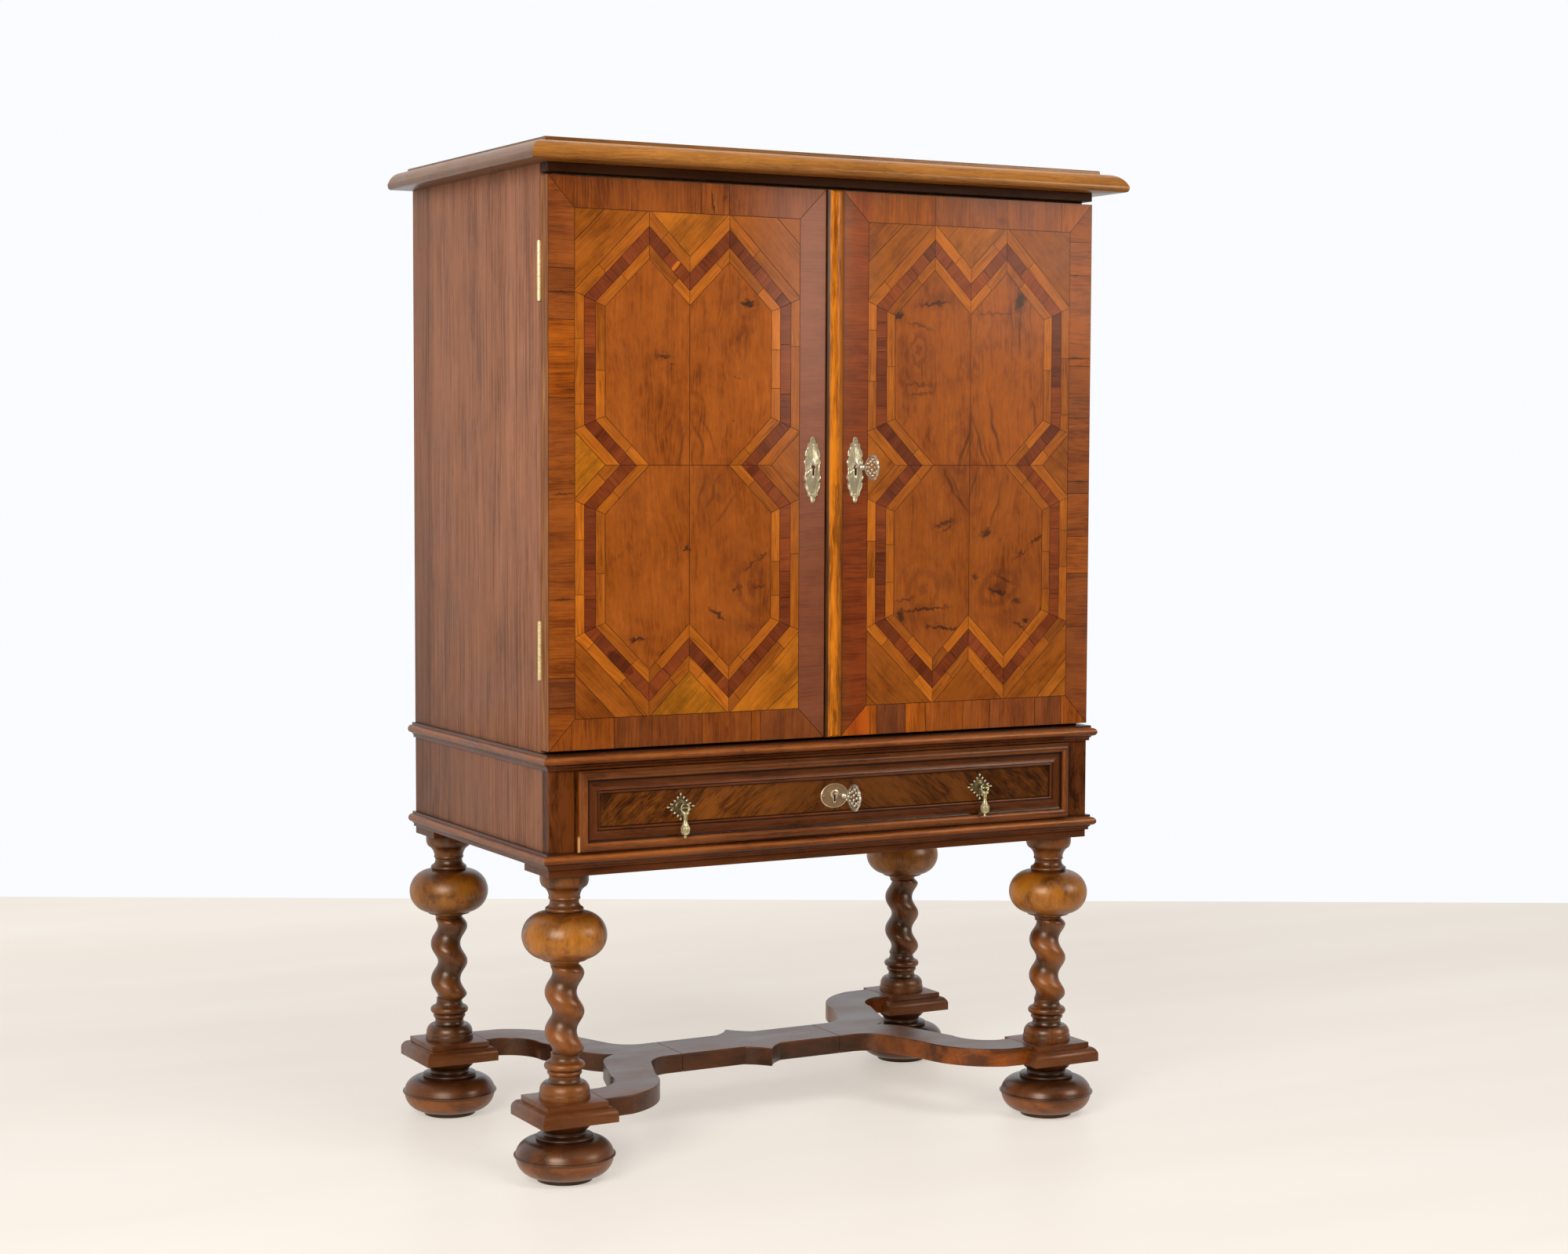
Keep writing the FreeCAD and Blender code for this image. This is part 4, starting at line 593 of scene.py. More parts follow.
def drawer_light(f, hue):
    """The left sheet is golden in its middle, and the right sheet is darker."""
    across = f.object_axes()[0]
    gold = f.times(f.span(across, -0.43, -0.31), f.span(across, -0.16, -0.05, 1.0, 0.0))
    return f.toned(hue, f.plus(f.times(gold, 0.45), 0.9))


def drawer_place(f):
    """Book-matched sheets whose grain slopes down from the middle to both ends."""
    x, y, z = f.object_axes()
    folded = f.absolute(f.minus(x, 0.006))
    return f.mapped(f.joined(folded, y, z), turn=(0, -math.radians(38), 0))


# Marks on the doors: x, z, half length, half height, turn in degrees, strength.
PANEL_MARKS = {                                  # knots, then smudges
    "left": (
        [(-287, 1211, 9, 4, 8, 0.8), (-148, 1291, 10, 5, 5, 1.0), (-249, 928, 5, 2.5, 10, 0.9),
         (-328, 797, 13, 2.6, 4, 1.0), (-282, 776, 7, 4, 25, 0.9), (-198, 832, 17, 3, -32, 0.9),
         (-167, 868, 7, 2, 45, 0.8), (-121, 916, 8, 2.4, 30, 0.7), (-271, 1199, 5, 1.5, 20, 0.6),
         (-160, 868, 3, 9, 20, 0.5), (-165, 1181, 6, 1.2, 0, 0.6), (-173, 1117, 2, 2, 0, 0.7),
         (-143, 903, 12, 2.2, 35, 0.6), (-128, 870, 11, 2.6, 5, 0.6)],
        [(-148, 1291, 24, 12, 5, 0.35), (-130, 808, 30, 12, -8, 0.75), (-292, 1211, 20, 9, 5, 0.35),
         (-335, 1197, 22, 16, 0, 0.3), (-340, 1275, 10, 40, 0, 0.3), (-328, 800, 22, 10, 0, 0.35),
         (-100, 905, 30, 22, 40, 0.35), (-214, 1000, 14, 40, 0, 0.35), (-225, 1030, 30, 12, 0, 0.3),
         (-170, 812, 34, 8, -12, 0.4), (-160, 905, 26, 50, 15, 0.28), (-200, 1236, 12, 14, 0, 0.3),
         (-276, 778, 12, 8, 20, 0.4)]),
    "right": (
        [(114, 1279, 9, 4.6, 30, 1.0), (335, 1309, 7, 14, -6, 1.0), (178, 1300, 28, 2.6, 6, 0.9),
         (288, 1287, 40, 1.6, 2, 0.55), (199, 962, 20, 3, 18, 0.8), (163, 829, 42, 2.4, 4, 0.9),
         (197, 799, 32, 2.2, -5, 0.95), (120, 820, 5, 10, 10, 0.95), (274, 946, 9, 6, 35, 0.9),
         (297, 854, 16, 3, -18, 0.95), (310, 873, 18, 2.6, -25, 0.7), (332, 838, 7, 4, 0, 0.8),
         (370, 935, 14, 2.6, 28, 0.85), (340, 912, 18, 2, 30, 0.7), (352, 806, 5, 4, 0, 1.0),
         (385, 826, 7, 4, 0, 0.8), (257, 878, 6, 4, 0, 0.7), (146, 1176, 24, 2, -4, 0.6),
         (155, 1162, 22, 1.8, 6, 0.55), (338, 800, 12, 2, -20, 0.8), (128, 845, 16, 2, 14, 0.7),
         (335, 1270, 1.2, 26, 0, 0.6), (150, 1265, 24, 2, -12, 0.6), (206, 955, 12, 2.4, 34, 0.7)],
        [(178, 1303, 40, 10, 6, 0.7), (190, 1318, 40, 12, 4, 0.5), (206, 871, 16, 12, 0, 0.7),
         (150, 1229, 24, 34, 0, 0.3), (200, 1178, 14, 12, 0, 0.45), (345, 812, 44, 15, 8, 0.75),
         (300, 858, 30, 9, -18, 0.5), (274, 946, 16, 12, 35, 0.5), (130, 822, 18, 14, 0, 0.45),
         (200, 965, 26, 9, 18, 0.4), (335, 1309, 12, 20, 0, 0.4), (345, 880, 40, 26, 20, 0.35),
         (170, 806, 52, 12, -2, 0.4), (240, 1010, 16, 40, 0, 0.4), (225, 1040, 26, 14, 0, 0.3)]),
}


PANEL_LINES = {
    "left": [(-228, 1086, 2.2, 40, 17, 0.5), (-258, 1076, 2.2, 30, -13, 0.5),
             (-212, 1098, 1.8, 32, 24, 0.4), (-272, 1100, 1.8, 42, -10, 0.35),
             (-236, 1064, 2.0, 16, 10, 0.5), (-205, 1012, 1.8, 28, -28, 0.45),
             (-182, 985, 1.8, 32, -40, 0.4), (-224, 1010, 1.8, 32, -16, 0.4)],
    "right": [(233, 1090, 2.6, 43, -14, 0.75), (262, 1084, 2.4, 40, 23, 0.7),
              (290, 1107, 2.4, 46, 14, 0.7), (361, 1130, 2.0, 22, 8, 0.6),
              (207, 1025, 2.4, 20, 21, 0.75), (228, 992, 2.6, 19, 43, 0.75),
              (216, 1020, 2.0, 21, 21, 0.6), (252, 1022, 2.0, 23, -19, 0.6),
              (294, 987, 2.0, 29, -22, 0.55), (256, 1083, 1.8, 34, 8, 0.5),
              (239, 1084, 1.8, 38, -7, 0.5), (274, 1080, 1.8, 34, 20, 0.45),
              (335, 1260, 2.0, 34, -2, 0.6)],
}
PANEL_SWIRLS = {
    "left": [(-148, 1291, 46, 62, 0, 0.3), (-140, 868, 62, 96, 24, 0.34),
             (-330, 1000, 40, 90, 8, 0.22), (-190, 1030, 44, 80, -8, 0.26)],
    "right": [(150, 1229, 34, 62, 0, 0.5), (160, 860, 70, 74, -14, 0.36),
              (300, 860, 96, 64, 24, 0.42), (225, 1075, 60, 90, 0, 0.3),
              (335, 1309, 30, 44, 0, 0.3)],
}


def spot_reach(f, place, x, z, half_x, half_z, turn):
    """Distance from the middle of an ellipse on the doors' faces: 1 at its edge."""
    return f.vector("LENGTH", f.mapped(place, scale=(half_x * MM, 10, half_z * MM),
                                       turn=(0, -math.radians(turn), 0),
                                       shift=(x * MM, 0, z * MM), kind="TEXTURE"))


def spot_mask(f, place, *spot, soft):
    """1 inside a soft-edged ellipse on the doors' faces."""
    return f.span(spot_reach(f, place, *spot), 1 - soft, 1 + soft, 1.0, 0.0)


def spots(f, place, rows, soft, join="MAXIMUM", gain=1.0, clamp=False):
    """Many such ellipses in one mask. The last value of each row is its strength."""
    total = None
    for *spot, strength in rows:
        mask = f.times(spot_mask(f, place, *spot, soft=soft), strength * gain)
        total = mask if total is None else f.math(join, total, mask, clamp)
    return total


def panel_marks(side):
    """Smudges, rings, knots and fine flames of one door's panels."""
    def draw(f, hue):
        plain = f.object_place()
        bent = f.ragged(plain, 22, 1, 0.4, 0.024)
        place = f.ragged(plain, 130, 3, 0.65, 0.02)
        knots, smudges = PANEL_MARKS[side]
        smoke = spots(f, place, smudges, 0.95, "ADD", 0.75, clamp=True)
        fibres = f.noise(f.mapped(place, (240, 240, 50)), 1, 3, 0.55)
        smoke = f.times(smoke, f.span(fibres, 0.0, 0.8))
        for *swirl, strength in PANEL_SWIRLS[side]:
            reach = spot_reach(f, place, *swirl)
            wave = f.math("SINE", f.times(reach, 21.0))
            ring = f.times(f.span(wave, -0.6, 1.0), f.span(reach, 0.15, 1.0, strength, 0.0))
            smoke = f.plus(smoke, ring, clamp=True)
        hue = f.mix(smoke, hue, srgb(88, 38, 14))
        black = spots(f, place, knots, 0.55)
        hue = f.mix(f.times(black, 0.88), hue, srgb(38, 18, 8))
        return f.mix(spots(f, bent, PANEL_LINES[side], 0.9), hue, srgb(64, 28, 8))
    return draw


def painted_sheen(f, hue, strength=0.15):
    """A painted sheen: a pale reflection high up beside the doors' meeting line, on the left door."""
    patch = spot_mask(f, f.object_place(), -40, 1330, 75, 260, 0, soft=0.9)
    return f.mix(f.times(patch, strength), hue, srgb(196, 150, 132))


def border_marks(f, hue):
    """Cracks in the doors' borders, a painted sheen, and a redder length on the right door."""
    place = f.ragged(f.object_place(), 160, 3, 0.65, 0.01)
    hue = painted_sheen(f, hue, 0.2)
    warm = f.times(spot_mask(f, place, 45, 1060, 30, 470, 0, soft=0.3), 0.8)
    hue = f.mix(warm, hue, f.vector("MULTIPLY", hue, (0.95, 0.58, 0.3)))
    return f.mix(spots(f, place, BORDER_MARKS, 0.5), hue, srgb(44, 18, 8))


BORDER_MARKS = [
    (-207, 1440, 1.5, 12, 4, 0.9), (-204, 1427, 1.2, 8, 12, 0.8), (-187, 1444, 2.5, 6, -20, 0.5),
    (301, 1431, 9, 5, 0, 0.3), (-452, 1298, 14, 1.6, 0, 0.6), (-446, 1010, 16, 1.8, 3, 0.6),
    (-437, 1160, 9, 1.6, -4, 0.5), (444, 1221, 12, 1.8, 0, 0.55), (450, 1026, 10, 1.8, 0, 0.5),
    (-448, 858, 12, 2.0, 5, 0.5), (438, 1352, 9, 1.6, -4, 0.5), (-180, 655, 2.0, 8, 0, 0.35)]


def strip_marks(f, hue):
    """A painted sheen, a light gap and a darker length in the left door's dark strip."""
    place = f.object_place()
    hue = painted_sheen(f, hue, 0.16)
    hue = f.mix(spot_mask(f, place, -356, 764, 26, 9, -40, soft=0.1), hue,
                f.vector("MULTIPLY", hue, (0.6, 0.55, 0.5)))
    gap = spot_mask(f, place, -267, 1342, 3, 12, -42, soft=0.15)
    return f.mix(gap, hue, srgb(176, 92, 22))


def panel_veneer(side):
    return wood("panel_veneer_" + side, colours().panel, "grain", vein=42, stretch=8,
                figure=0.4, fibre=1.1, cloud=0.8, curl=0.85, pores=0.35, wander=0.009,
                deep=0.56, light=1.25, marks=panel_marks(side))


def edge_finish():
    """Doors' cores: oak, with a brown lipping on the upright edges."""
    f = Finish("door_core")
    source = f.add("ShaderNodeTexCoord")
    place, normal = source.outputs["Object"], source.outputs["Normal"]
    streak = f.noise(f.mapped(place, (220, 220, 12)), 1, 4, 0.6)
    broad = f.noise(f.mapped(place, (30, 30, 3)), 1, 3, 0.5)
    oak = f.ramp(f.plus(f.times(streak, 0.5), f.times(broad, 0.5)),
                 [(0.36, shade(colours().inside, 0.6)), (0.5, shade(colours().inside, 0.9)),
                  (0.64, shade(colours().inside, 1.15))])
    lip = f.ramp(streak, [(0.3, srgb(98, 56, 30)), (0.6, srgb(146, 94, 54)),
                          (0.75, srgb(178, 124, 76))])
    facing = f.split(normal)
    across = f.absolute(facing[0])
    hue = f.mix(f.span(across, 0.5, 0.8), oak, lip)
    hue = f.mix(f.span(facing[1], -0.5, -0.9), hue, srgb(46, 22, 10))
    rough = f.span(broad, 0.3, 0.7, 0.42, 0.55, smooth=False)
    return f.surface(hue, rough, f.bump(streak, 0.0002, 0.5), Specular_IOR_Level=0.06)


def finishes():
    """How each finish is made, by name."""
    c = colours()
    recipes = {
        "border": partial(
            wood, "border_veneer", c.border, "grain", 48, 10, 0.9, 1.8, 1.0, 0.7,
            second=c.border_red, wander=0.004, pores=0.35, deep=0.58, light=1.3, second_deep=0.8,
            marks=border_marks),
        "light_strip": partial(
            wood, "light_strip_veneer", c.light_strip, "grain", 60, 9, 0.5, 1.6, 0.6, 0.6,
            second=c.ground, wander=0.002, pores=0.3, marks=painted_sheen),
        "dark_strip": partial(
            wood, "dark_strip_veneer", c.dark_strip, "grain", 60, 9, 0.8, 1.6, 0.7, 0.4,
            second=c.border, wander=0.002, pores=0.4, marks=strip_marks),
        "ground": partial(
            wood, "ground_veneer", c.ground, "grain", 50, 10, 0.3, 1.0, 1.0, 0.9, second=c.yellow,
            wander=0.003, pores=0.4, marks=painted_sheen),
        "panel_left": partial(panel_veneer, "left"),
        "panel_right": partial(panel_veneer, "right"),
        "closing_strip": partial(
            wood, "closing_strip_wood", c.closing_strip, "Z", 110, 12, 1.9, 2.4, 1.3, 0.6,
            wander=0.003, pores=0.4, deep=0.5, marks=strip_shade),
        "side": side_veneer,
        "walnut_x": partial(wood, "walnut_rail_wood", c.walnut, "X", 60, 14, 0.9, 0.9, 0.9),
        "walnut_z": partial(
            wood, "walnut_stile_wood", c.walnut, "Z", 36, 6, 1.7, 1.6, 0.8, 0.7, wander=0.016,
            deep=0.45, light=1.5, shine=0.1, coat=0.0),
        "frieze": partial(
            wood, "frieze_wood", c.frieze, "X", 60, 14, 0.8, 0.9, 0.9, coat=0.0, shine=0.08),
        "drawer": partial(
            wood, "drawer_veneer", c.drawer, "X", 80, 8, 0.9, 2.6, 1.2, 1.0, roughness=0.34,
            wander=0.006, deep=0.32, light=1.55, place=drawer_place, marks=drawer_light),
        "leg": partial(
            wood, "turned_walnut", c.turned, "Z", 40, 4, 0.6, 0.9, 1.7, 1.0, pores=0.3,
            roughness=0.36, coat=0.0, wander=0.02, deep=0.42, shine=0.75, wave=0.0,
            marks=leg_tones_and_shade),
        "foot": partial(
            wood, "dark_turned_walnut", c.turned_dark, "X", 40, 5, 1.2, 0.8, 1.2, 0.5, pores=0.35,
            roughness=0.32, coat=0.0, wander=0.02, shine=0.55, wave=0.0, marks=foot_light_and_shade),
        "plinth": partial(
            wood, "plinth_walnut", c.turned_dark, "X", 55, 9, 1.0, 0.9, 1.0, roughness=0.32,
            coat=0.0, shine=0.35),
        "stretcher_x": partial(
            wood, "stretcher_wood", c.stretcher, "X", 40, 9, 1.2, 1.0, 1.6, 0.8, roughness=0.34,
            coat=0.03, wander=0.012, shine=0.5, deep=0.45, light=1.5, marks=stretcher_tones),
    }
    for axis, word in (("X", "front"), ("Y", "side"), ("Z", "upright")):
        ending = "_" + axis.lower()
        # Painted shade: the cornice's returns take a darker copy of its colour.
        recipes["cornice" + ending] = partial(
            wood, "cornice_wood_" + word, shade(c.cornice, 0.56 if axis == "Y" else 1.0, 0.06),
            axis, 80, 14, 0.7, 1.6, 0.5, 0.4, roughness=0.3, coat=0.0, shine=0.55,
            marks=cornice_light_and_shade)
        for kind, tones in (("moulding", planted_light_and_shade), ("frame", frame_light_and_shade)):
            recipes[kind + ending] = partial(
                wood, kind + "_wood_" + word, c.moulding, axis, 70, 12, 0.9, 1.6, 0.8, 0.6,
                roughness=0.28, coat=0.0, shine=0.3, marks=tones)
        recipes["inside" + ending] = partial(
            wood, "oak_inside_" + word, c.inside, axis, 60, 26, 0.9, 0.9, 0.4, 0.3, pores=0.8,
            roughness=0.55, coat=0.0)
    # The paler rim metals, on raised rims, beads and nail heads, are partly rubbed brass and partly a
    # painted highlight.
    # Metals: name, material, colour, tarnish, roughness, strength of the spots, grit, metallic share.
    for name, *look in (
            ("pale_brass", "pale_brass", c.pale_brass, srgb(132, 116, 84), 0.34, 0.45, 0.3, 0.62),
            ("pale_rim_highlight", "pale_rim_highlight", srgb(216, 200, 170), srgb(170, 150, 116), 0.24, 0.3, 0.2, 0.7),
            ("key_brass", "key_brass", srgb(206, 196, 172), srgb(120, 106, 80), 0.22, 0.4, 0.2,
             0.75),
            ("old_brass", "old_brass", srgb(118, 102, 66), srgb(66, 54, 32), 0.34, 0.5, 0.3, 0.75),
            ("yellow_brass", "yellow_brass", c.yellow_brass, srgb(120, 100, 54), 0.26, 0.4, 0.3,
             0.8),
            ("bronze", "oval_plate_bronze", c.bronze, srgb(104, 74, 48), 0.36, 0.45, 0.3, 0.6),
            ("bright_rim_highlight", "rubbed_rim_highlight", srgb(226, 200, 168), srgb(170, 138, 104), 0.26, 0.25,
             0.2, 0.6),
            ("hinge_brass", "hinge_brass", c.hinge_brass, srgb(190, 160, 100), 0.3, 0.25, 0.1,
             0.55)):
        recipes[name] = partial(metal, *look)
    recipes.update({"door_core": edge_finish, "iron": iron, "keyhole": shadow_black})
    return recipes


MADE = {}


def finish(name):
    if name not in MADE:
        MADE[name] = finishes()[name]()
    return MADE[name]


# ---- shapes ----
def arc(a, b, bulge, count=7):
    """Points after a, up to b, on an arc that bulges to the right of the way from a to b."""
    a, b = Vector(a), Vector(b)
    way = b - a
    if abs(bulge) < 1e-6:
        return [b]
    half = way.length / 2
    radius = (half * half + bulge * bulge) / (2 * abs(bulge))
    swing = 2 * math.atan2(abs(bulge), half)
    way.normalize()
    right = Vector((way.y, -way.x)) * (1 if bulge > 0 else -1)
    middle = (a + b) / 2 + right * (abs(bulge) - radius)
    points = []
    for i in range(1, count + 1):
        angle = swing * (2 * i / count - 1)
        points.append(middle + right * radius * math.cos(angle) + way * radius * math.sin(angle))
    return points


def climbing(start, steps, z, fine=1.0):
    """Edge of a turning or moulding that climbs from z in steps."""
    points = [Vector((start, z))]
    for height, reach, bulge in steps:
        z += height
        count = max(4, int(fine * math.sqrt(abs(bulge)) * 5)) if bulge else 1
        points += arc(points[-1], (reach, z), bulge, count)
    return points


def softened(points, radius):
    """The same line with its sharp corners rounded off."""
    result = [points[0]]
    for before, point, after in zip(points, points[1:], points[2:]):
        u, v = point - before, after - point
        if min(u.length, v.length) < 1e-6 or u.angle(v) < math.radians(17):
            result.append(point)
            continue
        d = min(radius, 0.45 * u.length, 0.45 * v.length)
        a, b = point - u.normalized() * d, point + v.normalized() * d
        for t in (0, 0.35, 0.65, 1):
            result.append(a * (1 - t) ** 2 + point * 2 * t * (1 - t) + b * t * t)
    return result + [points[-1]]


def only(kind, parts):
    """The vertices, edges or faces among some parts of a mesh."""
    return [part for part in parts if isinstance(part, kind)]


def placed(name, data):
    """A new object in the scene."""
    thing = bpy.data.objects.new(name, data)
    bpy.context.scene.collection.objects.link(thing)
    return thing


def dressed(name, bm, body, nodes, materials, angle):
    """A piece made from a mesh in metres, riding on a body, which stands for CAD nodes."""
    mesh = bpy.data.meshes.new(name)
    bm.to_mesh(mesh)
    bm.free()
    for material in materials:
        mesh.materials.append(finish(material))
    mesh.shade_smooth()
    mesh.set_sharp_from_angle(angle=math.radians(angle))
    piece = placed(name, mesh)
    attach(piece, body)
    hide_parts(*nodes)
    return piece


def lay_down(name, bm, body, nodes, materials, angle=38):
    """Makes a piece from a mesh in millimetres, in its place."""
    bmesh.ops.transform(bm, matrix=INTO_FRAME, verts=bm.verts)
    dressed(name, bm, body, nodes, materials, angle)


def turn_outward(bm):
    bmesh.ops.recalc_face_normals(bm, faces=bm.faces)


def carry_over(material, *nodes):
    """Gives CAD nodes whose shape is right their finish."""
    for node in nodes:
        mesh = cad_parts[node].data
        mesh.materials.clear()
        mesh.materials.append(finish(material))


def soft_copy(node, name, body, material, width=None):
    """A CAD node with softened arrises, which stands for that node."""
    bm = bmesh.new()
    bm.from_mesh(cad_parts[node].data)
    bmesh.ops.remove_doubles(bm, verts=bm.verts, dist=2e-6)
    bmesh.ops.dissolve_limit(bm, angle_limit=math.radians(1.5), verts=bm.verts, edges=bm.edges,
                             delimit=set())
    for face in bm.faces:
        face.material_index = 0
    piece = dressed(name, bm, body, [node], [material], ARRIS_ANGLE)
    bevel = piece.modifiers.new("Softened arrises", "BEVEL")
    bevel.width = (width if width is not None else size("arris")) * MM
    bevel.segments = 3
    bevel.limit_method = "ANGLE"
    bevel.angle_limit = math.radians(ARRIS_ANGLE)
    bevel.harden_normals = True


def lathe(bm, outline, x, y, steps=None, axis="Z", z=0.0):
    """Spins an outline of (radius, height) about an upright axis, or one that runs forwards."""
    steps = steps or sizes().turning_steps
    if axis == "Z":
        verts = [bm.verts.new((x + radius, y, z + height)) for radius, height in outline]
        centre, way = (x, y, 0), (0, 0, 1)
    else:
        verts = [bm.verts.new((x + radius, y - height, z)) for radius, height in outline]
        centre, way = (x, 0, z), (0, -1, 0)
    edges = [bm.edges.new(pair) for pair in zip(verts, verts[1:])]
    bmesh.ops.spin(bm, geom=verts + edges, cent=centre, axis=way, dvec=(0, 0, 0),
                   angle=2 * math.pi, steps=steps, use_merge=True)
    bmesh.ops.remove_doubles(bm, verts=bm.verts, dist=1e-4)


def ball(bm, centre, radii, turn=None, detail=(14, 9)):
    """An egg-shaped ball."""
    matrix = Matrix.Translation(centre)
    if turn is not None:
        matrix = matrix @ turn
    matrix = matrix @ Matrix.Diagonal((*radii, 1))
    bmesh.ops.create_uvsphere(bm, u_segments=detail[0], v_segments=detail[1], radius=1,
                              matrix=matrix)


def bent_bar(bm, points, radii, side, around=10):
    """A round bar through points that lie in a plane, with a radius at each point."""
    points = [Vector(point) for point in points]
    side = Vector(side)
    angles = [2 * math.pi * k / around for k in range(around)]

    def ring(i):
        way = (points[min(i + 1, len(points) - 1)] - points[max(i - 1, 0)]).normalized()
        other = way.cross(side)
        return [points[i] + radii[i] * (math.cos(a) * side + math.sin(a) * other)
                for a in angles]

    edges = first_loop(bm, ring(0))
    bmesh.ops.contextual_create(bm, geom=edges)
    for i in range(1, len(points)):
        edges = next_loop(bm, edges, ring(i - 1), ring(i))
    bmesh.ops.contextual_create(bm, geom=edges)


def key_of(place):
    return tuple(round(value, 3) for value in place)


def first_loop(bm, places):
    """Edges of a closed loop through some places."""
    verts = [bm.verts.new(place) for place in places]
    return [bm.edges.new(pair) for pair in zip(verts, verts[1:] + verts[:1])]


def next_loop(bm, edges, before, after, material=0):
    """Extrudes a loop of edges and moves its new vertices from their places to new ones."""
    moves = dict(zip(map(key_of, before), after))
    made = bmesh.ops.extrude_edge_only(bm, edges=edges)["geom"]
    for vert in only(BMVert, made):
        vert.co = moves[key_of(vert.co)]
    for face in only(BMFace, made):
        face.material_index = material
    return [edge for edge in only(BMEdge, made) if len(edge.link_faces) == 1]


def flowing(points, fine=5):
    """A smooth line through points."""
    points = [Vector(point) for point in points]
    ends = [2 * points[0] - points[1]] + points + [2 * points[-1] - points[-2]]
    line = [points[0]]
    for a, b, c, d in zip(ends, ends[1:], ends[2:], ends[3:]):
        for i in range(1, fine + 1):
            t = i / fine
            line.append(0.5 * (2 * b + (c - a) * t + (2 * a - 5 * b + 4 * c - d) * t * t
                               + (3 * b - 3 * c + d - a) * t ** 3))
    return line


# ---- stand ----
LEG_PLACES = {"front_left": (-LEG_X, LEG_Y_FRONT), "front_right": (LEG_X, LEG_Y_FRONT),
              "back_left": (-LEG_X, LEG_Y_BACK), "back_right": (LEG_X, LEG_Y_BACK)}


def closed_edge(outline):
    """A turning's edge with both ends brought in to the axis."""
    return [Vector((0, outline[0].y))] + outline + [Vector((0, outline[-1].y))]


class CABINET_OT_feet(bpy.types.Operator):
    """Four flattened ball feet"""
    bl_idname = "cabinet.feet"
    bl_label = "Ball feet"

    def execute(self, context):
        bm = bmesh.new()
        edge = softened(climbing(*FOOT, 0.0), 0.7)
        for x, y in LEG_PLACES.values():
            lathe(bm, closed_edge(edge), x, y)
        turn_outward(bm)
        lay_down("ball_feet", bm, "carcase", ["feet"], ["foot"])
        return {"FINISHED"}


def square_turning(bm, edge, x, y):
    """A block whose four sides share one profile of (half width, height)."""
    ring = bmesh.ops.create_grid(bm, x_segments=1, y_segments=1, size=edge[0].x,
                                 matrix=Matrix.Translation((x, y, edge[0].y)))
    face = ring["verts"][0].link_faces[0]
    centre = Vector((x, y, 0))
    for before, after in zip(edge, edge[1:]):
        made = bmesh.ops.extrude_face_region(bm, geom=[face])["geom"]
        bmesh.ops.delete(bm, geom=[face], context="FACES_ONLY")
        face = only(BMFace, made)[0]
        for vert in only(BMVert, made):
            way = Vector((math.copysign(1, vert.co.x - x), math.copysign(1, vert.co.y - y), 0))
            vert.co = centre + way * after.x + Vector((0, 0, after.y))
    bmesh.ops.holes_fill(bm, edges=bm.edges, sides=4)


class CABINET_OT_plinths(bpy.types.Operator):
    """Square plinth blocks with a slab on a quarter round"""
    bl_idname = "cabinet.plinths"
    bl_label = "Plinth blocks"

    def execute(self, context):
        slab_top, fillet = Z_PLINTH + PLINTH_SLAB, Z_LEG - PLINTH_FILLET
        edge = [Vector((PLINTH_HALF, Z_PLINTH)), Vector((PLINTH_HALF, slab_top))]
        edge += arc(edge[-1], (PLINTH_TOP_HALF + 0.5, fillet), 3.6, 8)
        edge += [Vector((PLINTH_TOP_HALF, fillet)), Vector((PLINTH_TOP_HALF, Z_LEG))]
        edge = softened(edge, 0.9)
        bm = bmesh.new()
        for x, y in LEG_PLACES.values():
            square_turning(bm, edge, x, y)
        turn_outward(bm)
        corners = [e for e in bm.edges if abs(e.verts[0].co.z - e.verts[1].co.z) > 1e-4
                   and e.calc_face_angle(0) > 1.0]
        top = [e for e in bm.edges if all(abs(v.co.z - Z_LEG) < 1e-4 for v in e.verts)]
        bmesh.ops.bevel(bm, geom=corners + top, offset=0.8, segments=2, profile=0.5,
                        affect="EDGES", material=-1)
        lay_down("plinths", bm, "carcase", ["plinth_blocks"], ["plinth"])
        return {"FINISHED"}


def twist_radius(angle, z, phase):
    """Reach of the twist from the leg's axis: a round strand, run out into both necks."""
    offset, strand = size("twist_offset"), size("twist_strand")
    lead = math.radians(phase + 360 * (TWIST_HIGH - z) / size("twist_pitch"))
    swing = angle - lead
    reach = offset * math.cos(swing) + math.sqrt(strand ** 2 - (offset * math.sin(swing)) ** 2)
    ends = min(z - TWIST_LOW, TWIST_HIGH - z)
    run_out = min(1, max(0, ends / TWIST_RUN_OUT))
    neck = TWIST_NECK + (TWIST_SWELL - TWIST_NECK) * math.sin(run_out * math.pi / 2)
    if abs(neck - reach) > 3 * TWIST_BLEND:
        return min(neck, reach)
    # A rounded corner where the strand meets the neck.
    return -TWIST_BLEND * math.log(math.exp(-neck / TWIST_BLEND) + math.exp(-reach / TWIST_BLEND))


